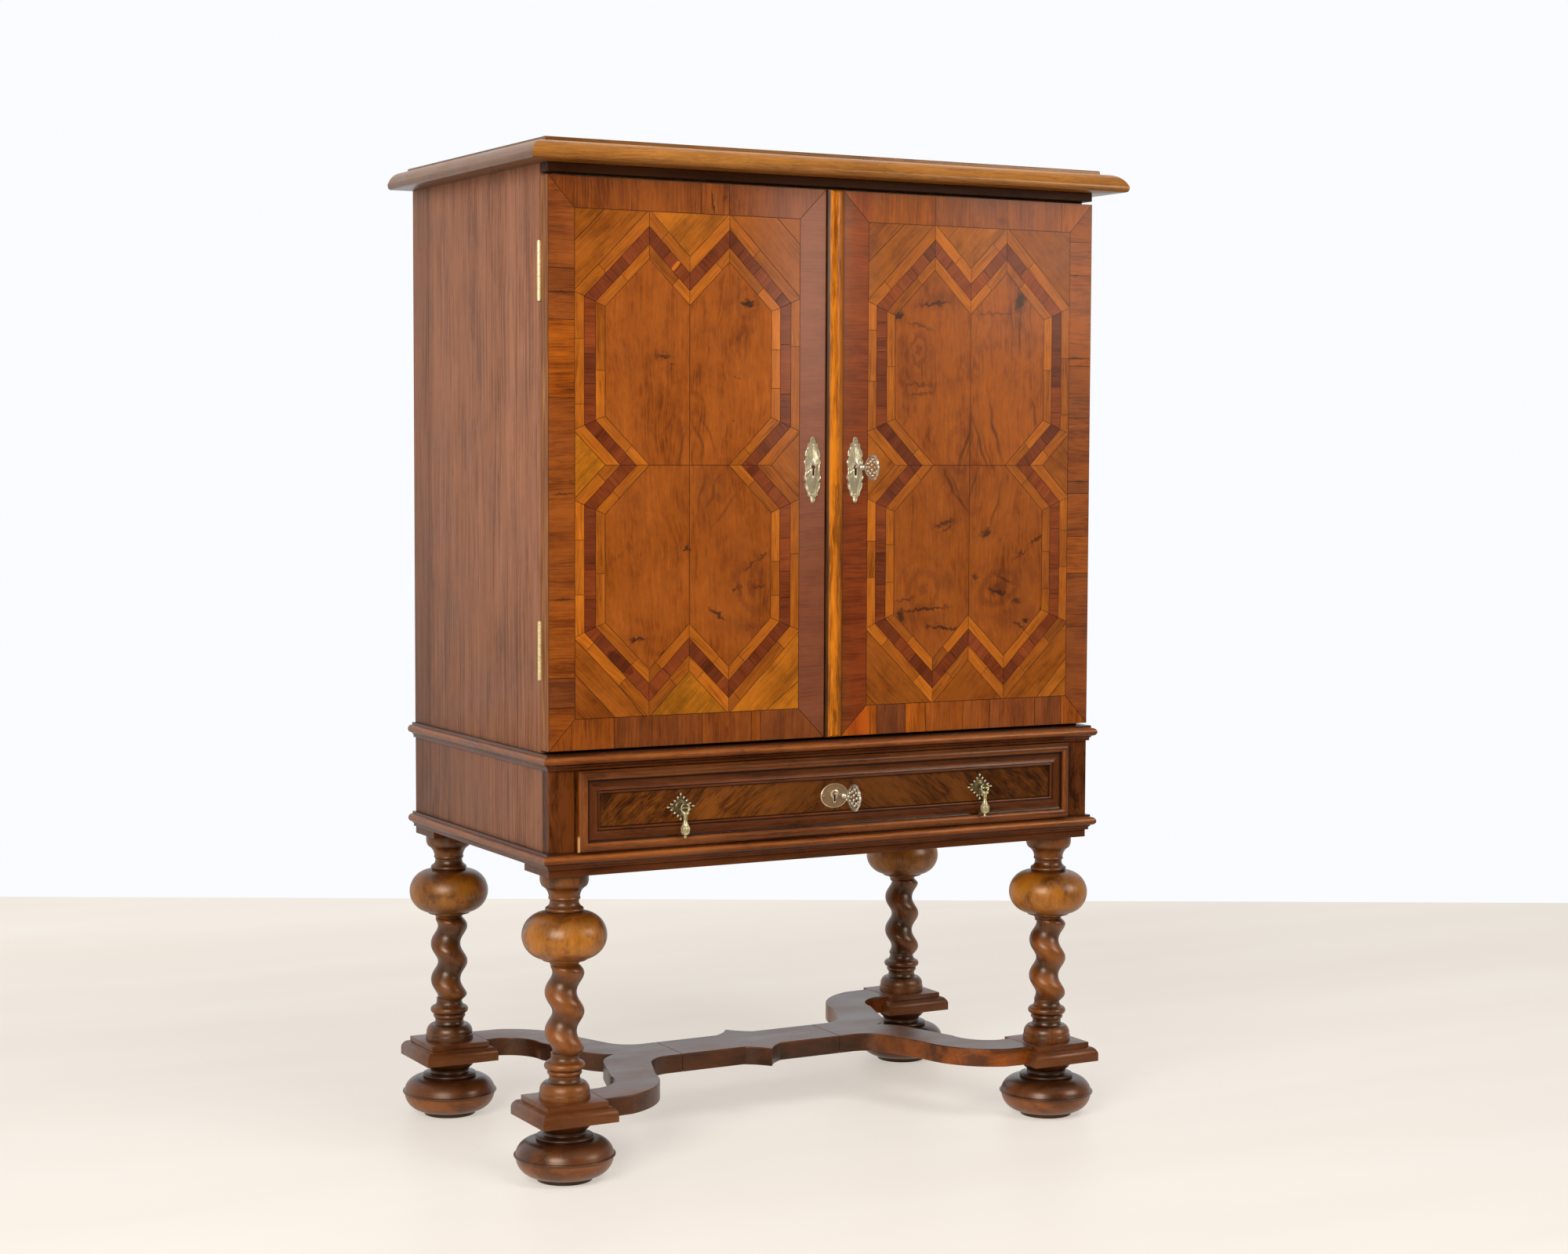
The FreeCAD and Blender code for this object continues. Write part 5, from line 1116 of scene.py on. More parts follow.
def wind_twist(bm, x, y, phase):
    """The twisted part of a leg, ring on ring."""
    ring = bmesh.ops.create_circle(bm, segments=TWIST_FLATS, radius=TWIST_NECK,
                                   matrix=Matrix.Translation((x, y, TWIST_LOW)))["verts"]
    edges = list({e for v in ring for e in v.link_edges})
    count = int((TWIST_HIGH - TWIST_LOW) / TWIST_RISE)
    for step in range(count + 1):
        z = TWIST_LOW + (TWIST_HIGH - TWIST_LOW) * step / count
        for vert in ring:
            angle = math.atan2(vert.co.y - y, vert.co.x - x)
            reach = twist_radius(angle, z, phase)
            vert.co = (x + reach * math.cos(angle), y + reach * math.sin(angle), z)
        if step < count:
            made = bmesh.ops.extrude_edge_only(bm, edges=edges)["geom"]
            ring = only(BMVert, made)
            edges = [e for e in only(BMEdge, made) if all(v in set(ring) for v in e.verts)]


class CABINET_OT_legs(bpy.types.Operator):
    """Twist-turned legs with a bun, a bell and a cup"""
    bl_idname = "cabinet.legs"
    bl_label = "Twist-turned legs"

    def execute(self, context):
        lower = softened(climbing(*LEG_LOWER, Z_LEG), 0.6)
        upper = softened(climbing(*LEG_UPPER, Z_LEG_UPPER), 0.6)
        for name, (x, y) in LEG_PLACES.items():
            bm = bmesh.new()
            lathe(bm, closed_edge(lower), x, y)
            lathe(bm, closed_edge(upper), x, y)
            wind_twist(bm, x, y, TWIST_PHASES[name])
            turn_outward(bm)
            lay_down("turned_leg_" + name, bm, "carcase", ["leg_" + name],
                     ["leg"], angle=44)
        return {"FINISHED"}


class CABINET_OT_stretcher(bpy.types.Operator):
    """Flat stretcher: a bar with cusps, and a fork at each end"""
    bl_idname = "cabinet.stretcher"
    bl_label = "Stretcher"

    def execute(self, context):
        for node in ("stretcher_bar", "stretcher_fork_left", "stretcher_fork_right"):
            soft_copy(node, node + "_worn", "carcase", "stretcher_x", 1.6)
        return {"FINISHED"}


# ---- case ----
class CABINET_OT_boards(bpy.types.Operator):
    """Sides, stiles, rails and cap of the two cases, with softened arrises"""
    bl_idname = "cabinet.boards"
    bl_label = "Case boards"

    def execute(self, context):
        for node, slot, material in (
                ("stand_rails", "walnut_rail", "walnut_x"),
                ("bottom_rail", "walnut_rail", "walnut_x"),
                ("frieze_rail", "walnut_rail", "frieze"),
                ("front_stiles", "stile_walnut", "walnut_z"),
                ("drawer_case_sides", "side_veneer", "side"),
                ("cupboard_side_left", "side_veneer", "side"),
                ("cupboard_side_right", "side_veneer", "side"),
                ("cap_board", "cornice", "cornice_x")):
            soft_copy(node, node + "_dressed", "carcase", material)
        return {"FINISHED"}


def cut_and_cap(bm, old, point, normal):
    """Cuts all that isn't old on a plane, drops what lies on its far side and closes the cut."""
    new = [v for v in bm.verts if v not in old]
    geom = new + list({e for v in new for e in v.link_edges}) \
        + list({f for v in new for f in v.link_faces})
    cut = bmesh.ops.bisect_plane(bm, geom=geom, plane_co=point, plane_no=normal,
                                 clear_outer=True)["geom_cut"]
    bmesh.ops.contextual_create(bm, geom=only(BMEdge, cut))


def run_length(bm, profile, start, end, out, mitres):
    """A length of moulding from start to end. profile is closed, of (projection, height), and
    projects the way out points; mitres are (point, normal) of the planes that end it."""
    start, end, out = Vector(start), Vector(end), Vector(out)
    old = set(bm.verts)
    verts = [bm.verts.new(start + out * p + Vector((0, 0, z))) for p, z in profile]
    face = bm.faces.new(verts)
    made = bmesh.ops.extrude_face_region(bm, geom=[face])["geom"]
    bmesh.ops.translate(bm, verts=only(BMVert, made), vec=end - start)
    for point, normal in mitres:
        cut_and_cap(bm, old, point, normal)


def round_the_case(name, edge, reach, material, nodes, seat=0.0):
    """A moulding round the front and both sides, mitred at the front corners."""
    profile = [(p, z) for p, z in edge] + [(-seat, edge[-1].y), (-seat, edge[0].y)]
    w = CASE_HALF
    left_mitre = ((-w, 0, 0), (-1, 1, 0))
    right_mitre = ((w, 0, 0), (1, 1, 0))
    bm = bmesh.new()
    run_length(bm, profile, (-w - reach, 0, 0), (w + reach, 0, 0), (0, -1, 0),
               [left_mitre, right_mitre])
    turn_outward(bm)
    lay_down(name + "_front_length", bm, "carcase", [nodes[0]], [material + "_x"])
    bm = bmesh.new()
    for side, mitre in ((-1, (1, -1, 0)), (1, (-1, -1, 0))):
        run_length(bm, profile, (side * w, -reach, 0), (side * w, CASE_DEPTH, 0), (side, 0, 0),
                   [((side * w, 0, 0), mitre)])
    turn_outward(bm)
    lay_down(name + "_return_lengths", bm, "carcase", [nodes[1]], [material + "_y"])


class CABINET_OT_mouldings(bpy.types.Operator):
    """Mouldings round the base and the waist"""
    bl_idname = "cabinet.mouldings"
    bl_label = "Base and waist mouldings"

    def execute(self, context):
        for name, z in (("base", Z_CASE), ("waist", Z_WAIST)):
            edge = softened(climbing(*PLANTED, z), 0.4)
            round_the_case(name + "_moulding", edge, 30, "moulding",
                           [name + "_moulding_front", name + "_moulding_returns"])
        return {"FINISHED"}


class CABINET_OT_cornice(bpy.types.Operator):
    """Cornice with a rounded nose and a crown"""
    bl_idname = "cabinet.cornice"
    bl_label = "Cornice"

    def execute(self, context):
        edge = softened(climbing(*CORNICE, Z_CORNICE), 1.2)
        round_the_case("cornice", edge, 60, "cornice",
                       ["cornice_front", "cornice_returns"], seat=60.0)
        return {"FINISHED"}


# ---- doors ----
class VeneerSheet:
    """Collects flat pieces of veneer in one mesh."""

    def __init__(self, seed):
        self.bm = bmesh.new()
        self.grain = self.bm.loops.layers.uv.new("grain")
        self.piece = self.bm.loops.layers.float_color.new("piece")
        self.chance = random.Random(seed)

    def lay(self, corners, grain, tone, redness, rim=0.8, spread=0.06):
        """One piece. corners are (x, z), grain is its direction in degrees from X."""
        bm = self.bm
        verts = [bm.verts.new((x, 0, z)) for x, z in corners]
        face = bm.faces.new(verts)
        face.normal_update()
        if face.normal.y > 0:
            face.normal_flip()

        def inset(inward):
            return bmesh.ops.inset_region(bm, faces=[face], thickness=inward,
                                          use_even_offset=True, use_boundary=True)["faces"]

        bmesh.ops.delete(bm, geom=inset(size("joint") / 2), context="FACES")
        rims = inset(rim)
        inner = set(face.verts)
        outer_edges = [e for f in rims for e in f.edges
                       if not (set(e.verts) & inner)]
        made = bmesh.ops.extrude_edge_only(bm, edges=outer_edges)["geom"]
        bmesh.ops.translate(bm, vec=(0, VENEER, 0), verts=only(BMVert, made))
        tone *= 1 + self.chance.uniform(-spread, spread)
        seed = self.chance.random()
        along = math.radians(grain)
        c, s = math.cos(along), math.sin(along)
        for f in [face] + rims + only(BMFace, made):
            for loop in f.loops:
                x, z = loop.vert.co.x * MM, loop.vert.co.z * MM
                loop[self.grain].uv = (x * c + z * s + seed, z * c - x * s)
                joint = 0.0 if loop.vert in inner else 1.0
                loop[self.piece] = (tone / 2, seed, joint, redness)


def divided(corners, lines=(), limits=()):
    """Splits a flat shape along lines and keeps what is inside the limits; each is a point and
    a direction across it, in (x, z)."""
    bm = bmesh.new()
    bm.faces.new([bm.verts.new((x, 0, z)) for x, z in corners])
    cuts = [(*limit, True) for limit in limits] + [(*line, False) for line in lines]
    for (x, z), (across_x, across_z), clear in cuts:
        bmesh.ops.bisect_plane(bm, geom=bm.verts[:] + bm.edges[:] + bm.faces[:],
                               plane_co=(x, 0, z), plane_no=(across_x, 0, across_z),
                               clear_outer=clear)
    shapes = [[(v.co.x, v.co.z) for v in f.verts] for f in bm.faces if f.calc_area() > 0.5]
    bm.free()
    return shapes


def middle_of(shape):
    return (sum(x for x, _ in shape) / len(shape), sum(z for _, z in shape) / len(shape))


FIELD_CENTRE, FIELD_HALF_WIDTH, FIELD_HALF_HEIGHT = 244.0, 184.5, 367.25
MEETING_EDGE = {-1: 15.0, 1: 14.0}               # of each border, from the doors' middle


def band_outline(growth):
    """Outline of the doors' band, with its middle line moved out by growth."""
    width, height = size("band_half_width"), size("band_half_height")
    apex, waist = size("band_apex"), size("band_waist")
    slant, corner = growth * (math.sqrt(2) - 1), growth * math.sqrt(2)
    quarter = [(0, height - apex + corner), (apex, height + corner),
               (width + growth, height - (width - apex) + slant),
               (width + growth, waist - slant), (width - waist + corner, 0)]
    right = quarter + [(x, -z) for x, z in reversed(quarter[:-1])]
    return right + [(-x, z) for x, z in reversed(right[1:-1])]


def on_door(side, shape):
    """A shape round the field's middle, moved to the left (-1) or right (1) door."""
    return [(side * FIELD_CENTRE + x, DOOR_MIDDLE + z) for x, z in shape]


def field_limits(side):
    x, z = side * FIELD_CENTRE, DOOR_MIDDLE
    return [((x + way * FIELD_HALF_WIDTH, z), (way, 0)) for way in (-1, 1)] + \
        [((x, z + way * FIELD_HALF_HEIGHT), (0, way)) for way in (-1, 1)]


# Where the border's pieces meet, and the tone and redness of each piece between, for each door:
# left and right borders from the bottom up, bottom and top borders from the left.
BORDERS = {
    -1: {
        "left": ([702, 745, 858, 1148, 1260, 1299, 1333],
                 [(0.92, 0.1), (0.72, 0.35), (0.95, 0.1), (0.9, 0.15), (1.12, 0.0), (0.9, 0.2),
                  (0.72, 0.3), (0.86, 0.25)]),
        "right": ([], [(0.92, 1.0)]),
        "bottom": ([-434, -366, -222, -140, -124], [(0.95, 0.1), (0.9, 0.1), (0.72, 0.3),
                                                 (0.84, 0.2), (0.94, 0.1), (0.78, 0.4)]),
        "top": ([-225, -179], [(0.84, 0.15), (0.9, 0.1), (0.82, 0.35)]),
    },
    1: {
        "left": ([], [(0.79, 0.3)]),
        "right": ([794, 880, 939, 1007, 1026, 1127, 1209, 1221, 1352, 1404],
                  [(0.88, 0.4), (0.9, 0.35), (1.05, 0.1), (1.0, 0.2), (0.8, 0.4), (0.95, 0.15),
                   (0.88, 0.3), (1.1, 0.05), (1.02, 0.2), (1.02, 0.1), (0.95, 0.3)]),
        "bottom": ([67, 79, 130, 167, 235, 285, 370, 420],
                   [(1.3, 0.0), (1.2, 0.0), (0.76, 0.5), (1.25, 0.0), (1.02, 0.1), (0.98, 0.2),
                    (0.98, 0.35), (0.84, 0.45), (1.15, 0.1)]),
        "top": ([178, 412], [(0.92, 0.0), (1.04, 0.4), (1.15, 0.0)]),
    },
}


def border_shapes(side):
    """The four mitred lengths of a door's border, by name, with their grain direction."""
    x, z = side * FIELD_CENTRE, DOOR_MIDDLE
    inner = MEETING_EDGE[side]
    left, right = (inner, CASE_HALF) if side > 0 else (-CASE_HALF, -inner)
    low, high = Z_DOOR, Z_DOOR + DOOR_HEIGHT
    fl, fr = x - FIELD_HALF_WIDTH, x + FIELD_HALF_WIDTH
    fb, ft = z - FIELD_HALF_HEIGHT, z + FIELD_HALF_HEIGHT
    return {
        "left": ([(left, low), (fl, fb), (fl, ft), (left, high)], 0),
        "right": ([(fr, fb), (right, low), (right, high), (fr, ft)], 0),
        "bottom": ([(left, low), (right, low), (fr, fb), (fl, fb)], 90),
        "top": ([(fl, ft), (fr, ft), (right, high), (left, high)], 90),
    }


def lay_border(side, sheet):
    for name, (corners, grain) in border_shapes(side).items():
        joints, tones = BORDERS[side][name]
        upright = name in ("left", "right")
        across = (0, 1) if upright else (1, 0)
        lines = [((0, at) if upright else (at, 0), across) for at in joints]
        for shape in divided(corners, lines):
            middle = middle_of(shape)[1 if upright else 0]
            tone, redness = tones[sum(1 for at in joints if at < middle)]
            sheet.lay(shape, grain + sheet.chance.uniform(-3, 3), tone, redness, spread=0.03)


PALE_STRIP_X = -410.0


def lay_strips(side, sheet, inner_growth, outer_growth, lengths, tones, grain_across):
    """One strip of the band: mitred sides, each pieced together from short lengths."""
    inner = on_door(side, band_outline(inner_growth))
    outer = on_door(side, band_outline(outer_growth))
    count = len(inner)
    for i in range(count):
        a, b = Vector(inner[i]), Vector(inner[(i + 1) % count])
        c, d = Vector(outer[(i + 1) % count]), Vector(outer[i])
        way = (b - a).normalized()
        start, stop = min(0, (d - a).dot(way)), max((b - a).dot(way), (c - a).dot(way))
        lines = []
        at = start + sheet.chance.uniform(*lengths) * 0.8
        while at < stop - lengths[0] * 0.6:
            lines.append((tuple(a + way * at), tuple(way)))
            at += sheet.chance.uniform(*lengths)
        grain = math.degrees(math.atan2(way.y, way.x)) + (90 if grain_across else 0)
        for shape in divided([tuple(p) for p in (a, b, c, d)], lines, field_limits(side)):
            tone, redness = sheet.chance.choice(tones)
            # The light strip beside the left door's hinges is the palest.
            if middle_of(shape)[0] < PALE_STRIP_X and not grain_across:
                tone, redness = tone * 1.2, 0.0
            sheet.lay(shape, grain + sheet.chance.uniform(-6, 6), tone, redness, rim=0.6)


# Straight joints across the corner pieces of the ground: (x, z) of both ends.
GROUND_JOINTS = {
    -1: [((-428, 1373), (-383, 1418)), ((-98, 1418), (-58, 1379)), ((-425, 746), (-363, 683)),
         ((-106, 691), (-61, 725)), ((-402, 779), (-317, 683))],
    1: [((61, 1361), (122, 1418)), ((300, 1418), (428.5, 1300)), ((61, 700), (79, 683)),
        ((395, 683), (428.5, 716)), ((372, 683), (428.5, 745))],
}
# Tones of the ground's pieces by their place: (x, z) near the piece, tone, yellowness.
GROUND_TONES = {
    -1: [(-400, 1048, 1.08, 0.9), (-238, 705, 1.12, 1.0), (-410, 1400, 1.0, 0.3),
         (-240, 1395, 1.06, 0.5), (-75, 1405, 0.85, 0.0), (-110, 1360, 0.84, 0.1),
         (-370, 1370, 0.96, 0.2), (-75, 1048, 0.86, 0.1), (-405, 700, 0.84, 0.0),
         (-380, 720, 0.92, 0.1), (-70, 700, 1.1, 0.8), (-110, 735, 1.05, 0.6)],
    1: [(85, 1048, 1.0, 0.2), (244, 700, 0.92, 0.0), (80, 1400, 0.92, 0.1),
        (244, 1395, 1.0, 0.3), (415, 1405, 0.86, 0.0), (370, 1360, 0.84, 0.0),
        (110, 1350, 0.94, 0.2), (410, 1048, 0.95, 0.2), (70, 690, 0.9, 0.0),
        (110, 740, 0.9, 0.1), (410, 700, 1.06, 0.4), (370, 740, 0.98, 0.2)],
}


def lay_ground(side, sheet):
    """Pieces between the band and the border."""
    reach = size("dark_strip") / 2 + size("outer_strip")
    outline = band_outline(reach)
    apex_x, apex_z = outline[1]
    w, h = FIELD_HALF_WIDTH, FIELD_HALF_HEIGHT
    top_run = apex_z - h                       # the points are cut off by the border
    valley = outline[0][1]
    waist = outline[4][0]
    inner_x, outer_x = apex_x - top_run, apex_x + top_run
    shoulder = apex_z - (w - apex_x)
    hip = w - waist
    shapes = [[(0, valley), (inner_x, h), (-inner_x, h)],
              [(0, -valley), (-inner_x, -h), (inner_x, -h)]]
    for way in (-1, 1):
        shapes.append([(way * waist, 0), (way * w, hip), (way * w, -hip)])
        for up in (-1, 1):
            shapes.append([(way * outer_x, up * h), (way * w, up * h), (way * w, up * shoulder)])
    for shape in shapes:
        moved = on_door(side, shape)
        centre = middle_of(moved)
        x, z = middle_of(shape)
        if abs(x) < 1:
            grain = 45 if z > 0 else -135
        elif abs(z) < 1:
            grain = 45 if x < 0 else -45
        else:
            grain = 45 if x * z < 0 else -45
        # Only joints that lie near a shape's middle cross it.
        lines = [((x0, z0), (z1 - z0, x0 - x1)) for (x0, z0), (x1, z1) in GROUND_JOINTS[side]
                 if math.dist(((x0 + x1) / 2, (z0 + z1) / 2), centre) < 60]
        for part in divided(moved, lines):
            spot = middle_of(part)
            tone, yellow = min(((math.dist(spot, (x, z)), t, r)
                                for x, z, t, r in GROUND_TONES[side]))[1:]
            sheet.lay(part, grain, tone, yellow)


PANEL_TONES = {-1: {(-1, 1): 1.0, (1, 1): 1.03, (-1, -1): 0.94, (1, -1): 0.96},
               1: {(-1, 1): 1.02, (1, 1): 1.08, (-1, -1): 0.93, (1, -1): 0.97}}


def lay_panels(side, sheet):
    """Four quartered panels inside the band."""
    outline = band_outline(-size("dark_strip") / 2 - size("inner_strip"))
    for way in (-1, 1):
        for up in (-1, 1):
            quarter = [(0, 0)] + [(way * x, up * z) for x, z in outline[:5]]
            tone = PANEL_TONES[side][(way, up)]
            sheet.lay(on_door(side, quarter), 90 + sheet.chance.uniform(-3, 3), tone, 0.0,
                      spread=0.0)


class CABINET_OT_door_veneers(bpy.types.Operator):
    """Marquetry of both doors: border, three strips, ground and quartered panels"""
    bl_idname = "cabinet.door_veneers"
    bl_label = "Door veneers"

    def execute(self, context):
        dark = size("dark_strip") / 2
        outer, inner = size("outer_strip"), size("inner_strip")
        light_tones = [(1.0, 0.2), (1.06, 0.0), (0.92, 0.5), (1.14, 0.0), (0.86, 0.7), (1.0, 0.4)]
        dark_tones = [(1.0, 0.1), (0.88, 0.0), (1.08, 0.1), (0.78, 0.0), (1.16, 0.2)]

        def light_strips(side, sheet):
            lay_strips(side, sheet, dark, dark + outer, (45, 110), light_tones, False)
            lay_strips(side, sheet, -dark - inner, -dark, (45, 110), light_tones, False)

        def dark_strips(side, sheet):
            lay_strips(side, sheet, -dark, dark, (34, 78), dark_tones, True)

        for side, name in SIDES:
            for part, seed, lay, material in (
                    ("border", 11, lay_border, "border"),
                    ("light_strips", 23, light_strips, "light_strip"),
                    ("dark_strip", 37, dark_strips, "dark_strip"),
                    ("ground", 41, lay_ground, "ground"),
                    ("panels", 53, lay_panels, "panel_" + name)):
                sheet = VeneerSheet(seed + side)
                lay(side, sheet)
                lay_down(name + "_door_" + part, sheet.bm, name + "_door",
                         [name + "_door_veneer"], [material], angle=50)
        return {"FINISHED"}


class CABINET_OT_door_cores(bpy.types.Operator):
    """Doors behind their veneer, and the closing strip"""
    bl_idname = "cabinet.door_cores"
    bl_label = "Door cores and closing strip"

    def execute(self, context):
        for name in ("left", "right"):
            soft_copy(name + "_door", name + "_door_core", name + "_door",
                      "door_core", 0.6)
        carry_over("closing_strip", "astragal")
        return {"FINISHED"}


# ---- drawer ----
class CABINET_OT_drawer_front(bpy.types.Operator):
    """Figured drawer front with its frame moulding"""
    bl_idname = "cabinet.drawer_front"
    bl_label = "Drawer front"

    def execute(self, context):
        soft_copy("drawer_front", "drawer_front_figured", "drawer", "drawer", 0.5)
        points = [Vector(DRAWER_FRAME[0][:2])]
        for (_, _, bulge), (inward, rise, _) in zip(DRAWER_FRAME, DRAWER_FRAME[1:]):
            points += arc(points[-1], (inward, rise), -bulge, 9)
        edge = softened(points, 0.35)
        low, high, w = Z_DRAWER_LOW, Z_DRAWER_HIGH, DRAWER_HALF
        bm = bmesh.new()
        lengths = [((-w, low), (1, 0), (0, 1), 2 * w), ((w, high), (-1, 0), (0, -1), 2 * w),
                   ((w, low), (0, 1), (-1, 0), high - low), ((-w, high), (0, -1), (1, 0),
                                                             high - low)]
        for index, ((x, z), (dx, dz), (ix, iz), length) in enumerate(lengths):
            old_verts, old_faces = set(bm.verts), set(bm.faces)
            verts = [bm.verts.new((x + ix * p.x, DRAWER_FIELD - p.y, z + iz * p.x))
                     for p in edge]
            face = bm.faces.new(verts)
            made = bmesh.ops.extrude_face_region(bm, geom=[face])["geom"]
            bmesh.ops.translate(bm, vec=(dx * length, 0, dz * length), verts=only(BMVert, made))
            cut_and_cap(bm, old_verts, (x, 0, z), (ix - dx, 0, iz - dz))
            cut_and_cap(bm, old_verts, (x + dx * length, 0, z + dz * length),
                        (ix + dx, 0, iz + dz))
            for f in bm.faces:
                if f not in old_faces:
                    f.material_index = 0 if index < 2 else 1
        turn_outward(bm)
        lay_down("drawer_frame", bm, "drawer", ["drawer_frame_moulding"],
                 ["frame_x", "frame_z"])
        return {"FINISHED"}


# ---- everything else that is carried over ----
class CABINET_OT_inside(bpy.types.Operator):
    """Oak inside the case, the cupboard and the drawer"""
    bl_idname = "cabinet.inside"
    bl_label = "Inside"

    def execute(self, context):
        # The waist board takes the dark frieze finish: painted shade in the gap under the doors.
        carry_over("frieze", "waist_board")
        carry_over("inside_x", "drawer_case_bottom", "cupboard_bottom",
                   "cupboard_top", "shelf", "drawer_bottom", "cornice_back")
        carry_over("inside_y", "drawer_runners", "shelf_battens", "drawer_box")
        carry_over("inside_z", "cupboard_back", "drawer_case_back")
        return {"FINISHED"}


class CABINET_OT_locks(bpy.types.Operator):
    """Hinges, lock cases, bolts and their fittings"""
    bl_idname = "cabinet.locks"
    bl_label = "Hinges and locks"

    def execute(self, context):
        carry_over("hinge_brass", "hinge_fixed_leaves", "hinge_pins", "left_door_hinge_leaves",
                   "right_door_hinge_leaves")
        carry_over("iron", "left_door_fittings", "left_door_bolt", "door_lock_case",
                   "door_lock_bolt", "drawer_lock_case", "drawer_lock_bolt")
        return {"FINISHED"}


# ---- brass ----
# Door plate, from its middle up: height, half width, bulge. The knob on it: half width, height,
# bulge, count of points.
DOOR_PLATE = [(0, 12.9, 0), (10.5, 14.6, -0.9), (12.2, 14.8, 0.2), (17.2, 11.5, 0.5),
              (21.8, 13.3, -0.5), (23.4, 12.9, 0.2), (31, 10.6, 0.9), (37.4, 8.4, -0.6),
              (39.6, 7.6, 0.7), (41.2, 4.6, 0.2)]
PLATE_KNOB = [(3.2, 43.2, 0.5, 4), (3.6, 46.6, 0.9, 4), (0, 50, 1.2, 5)]
PLATE_X, PLATE_Z, KEYHOLE_UP = 37.0, 1044.7, 4.0
PLATE_NAIL_UP = 37.5                             # of each nail from the plate's middle
OVAL_Z, DRAWER_KEYHOLE_Z = 549.5, 553.0
OVAL_HALF, OVAL_NAIL_X = (24.0, 18.8), 18.8
PULL_X, PULL_Z, PULL_Y = 262.0, 548.5, -24.0
PULL_PLATE_HALF = (21.0, 19.0)                   # to the tips of its rim of beads
PULL_PLATE_SHARE, PULL_BOSS = 0.88, 16.0         # size of the plate inside that rim, its boss
# The plate from its edge in: share of its size, rise.
PULL_PLATE_RINGS = [(1, 1.2), (0.96, 1.6), (0.84, 1.6), (0.78, 1.1), (0.6, 1.2), (0.5, 2.2),
                    (0.42, 3.0), (0.3, 3.4), (0.2, 2.8), (0.1, 2.2)]
FLUTES, FLUTES_LOW, FLUTES_HIGH = 8, 1.5, 26.0   # round a drop, and where they start and end
DOOR_TIP, DRAWER_TIP = 39.7, 27.2                # far ends of the keys' shanks


def keyhole_reach(way):
    """How far a keyhole's edge is from the middle of its round part, in a direction."""
    slot = min(1.5 / max(abs(way.x), 1e-6), 12.5 / -way.y) if way.y < -1e-6 else 0
    return max(3.2, slot)


def cast_plate(bm, outline, hole, y, rings):
    """A cast plate, in loops from its outline in to its keyhole.

    Each ring is a share of the way in, a rise and a material. A share over 1 lies in the keyhole,
    and one below 0 is millimetres in from the outline.
    """
    hole = Vector(hole)
    targets = []
    for point in outline:
        way = (point - hole).normalized()
        targets.append((hole + way * keyhole_reach(way), hole + way * 2.95))

    def loop(share, rise):
        places = []
        for point, (edge, core) in zip(outline, targets):
            if share < 0:
                flat = point.lerp(edge, min(0.4, -share / (edge - point).length))
            else:
                flat = point.lerp(edge, share) if share <= 1 else edge.lerp(core, share - 1)
            places.append(Vector((flat.x, y - rise, flat.y)))
        return places

    before = loop(0, 0)
    first = edges = first_loop(bm, before)
    for share, rise, material in rings:
        after = loop(share, rise)
        edges = next_loop(bm, edges, before, after, material)
        before = after
    bmesh.ops.bridge_loops(bm, edges=first + edges)
    turn_outward(bm)


def door_plate_outline(x):
    """The plate's outline, clockwise from its lowest point, with a knob at each end."""
    quarter = [Vector((DOOR_PLATE[0][1], DOOR_PLATE[0][0]))]
    for rise, width, bulge in DOOR_PLATE[1:]:
        quarter += arc(quarter[-1], (width, rise), bulge, 6)
    for width, rise, bulge, count in PLATE_KNOB:
        quarter += arc(quarter[-1], (width, rise), bulge, count)
    right = [Vector((p.x, -p.y)) for p in reversed(quarter)] + quarter[1:]
    left = [Vector((-p.x, -p.y)) for p in right[1:-1]]
    return [Vector((x + p.x, PLATE_Z + p.y)) for p in right + left]


def nail_head(bm, x, y, z):
    ball(bm, (x, y, z), (2.0, 1.2, 2.0), None, (12, 8))


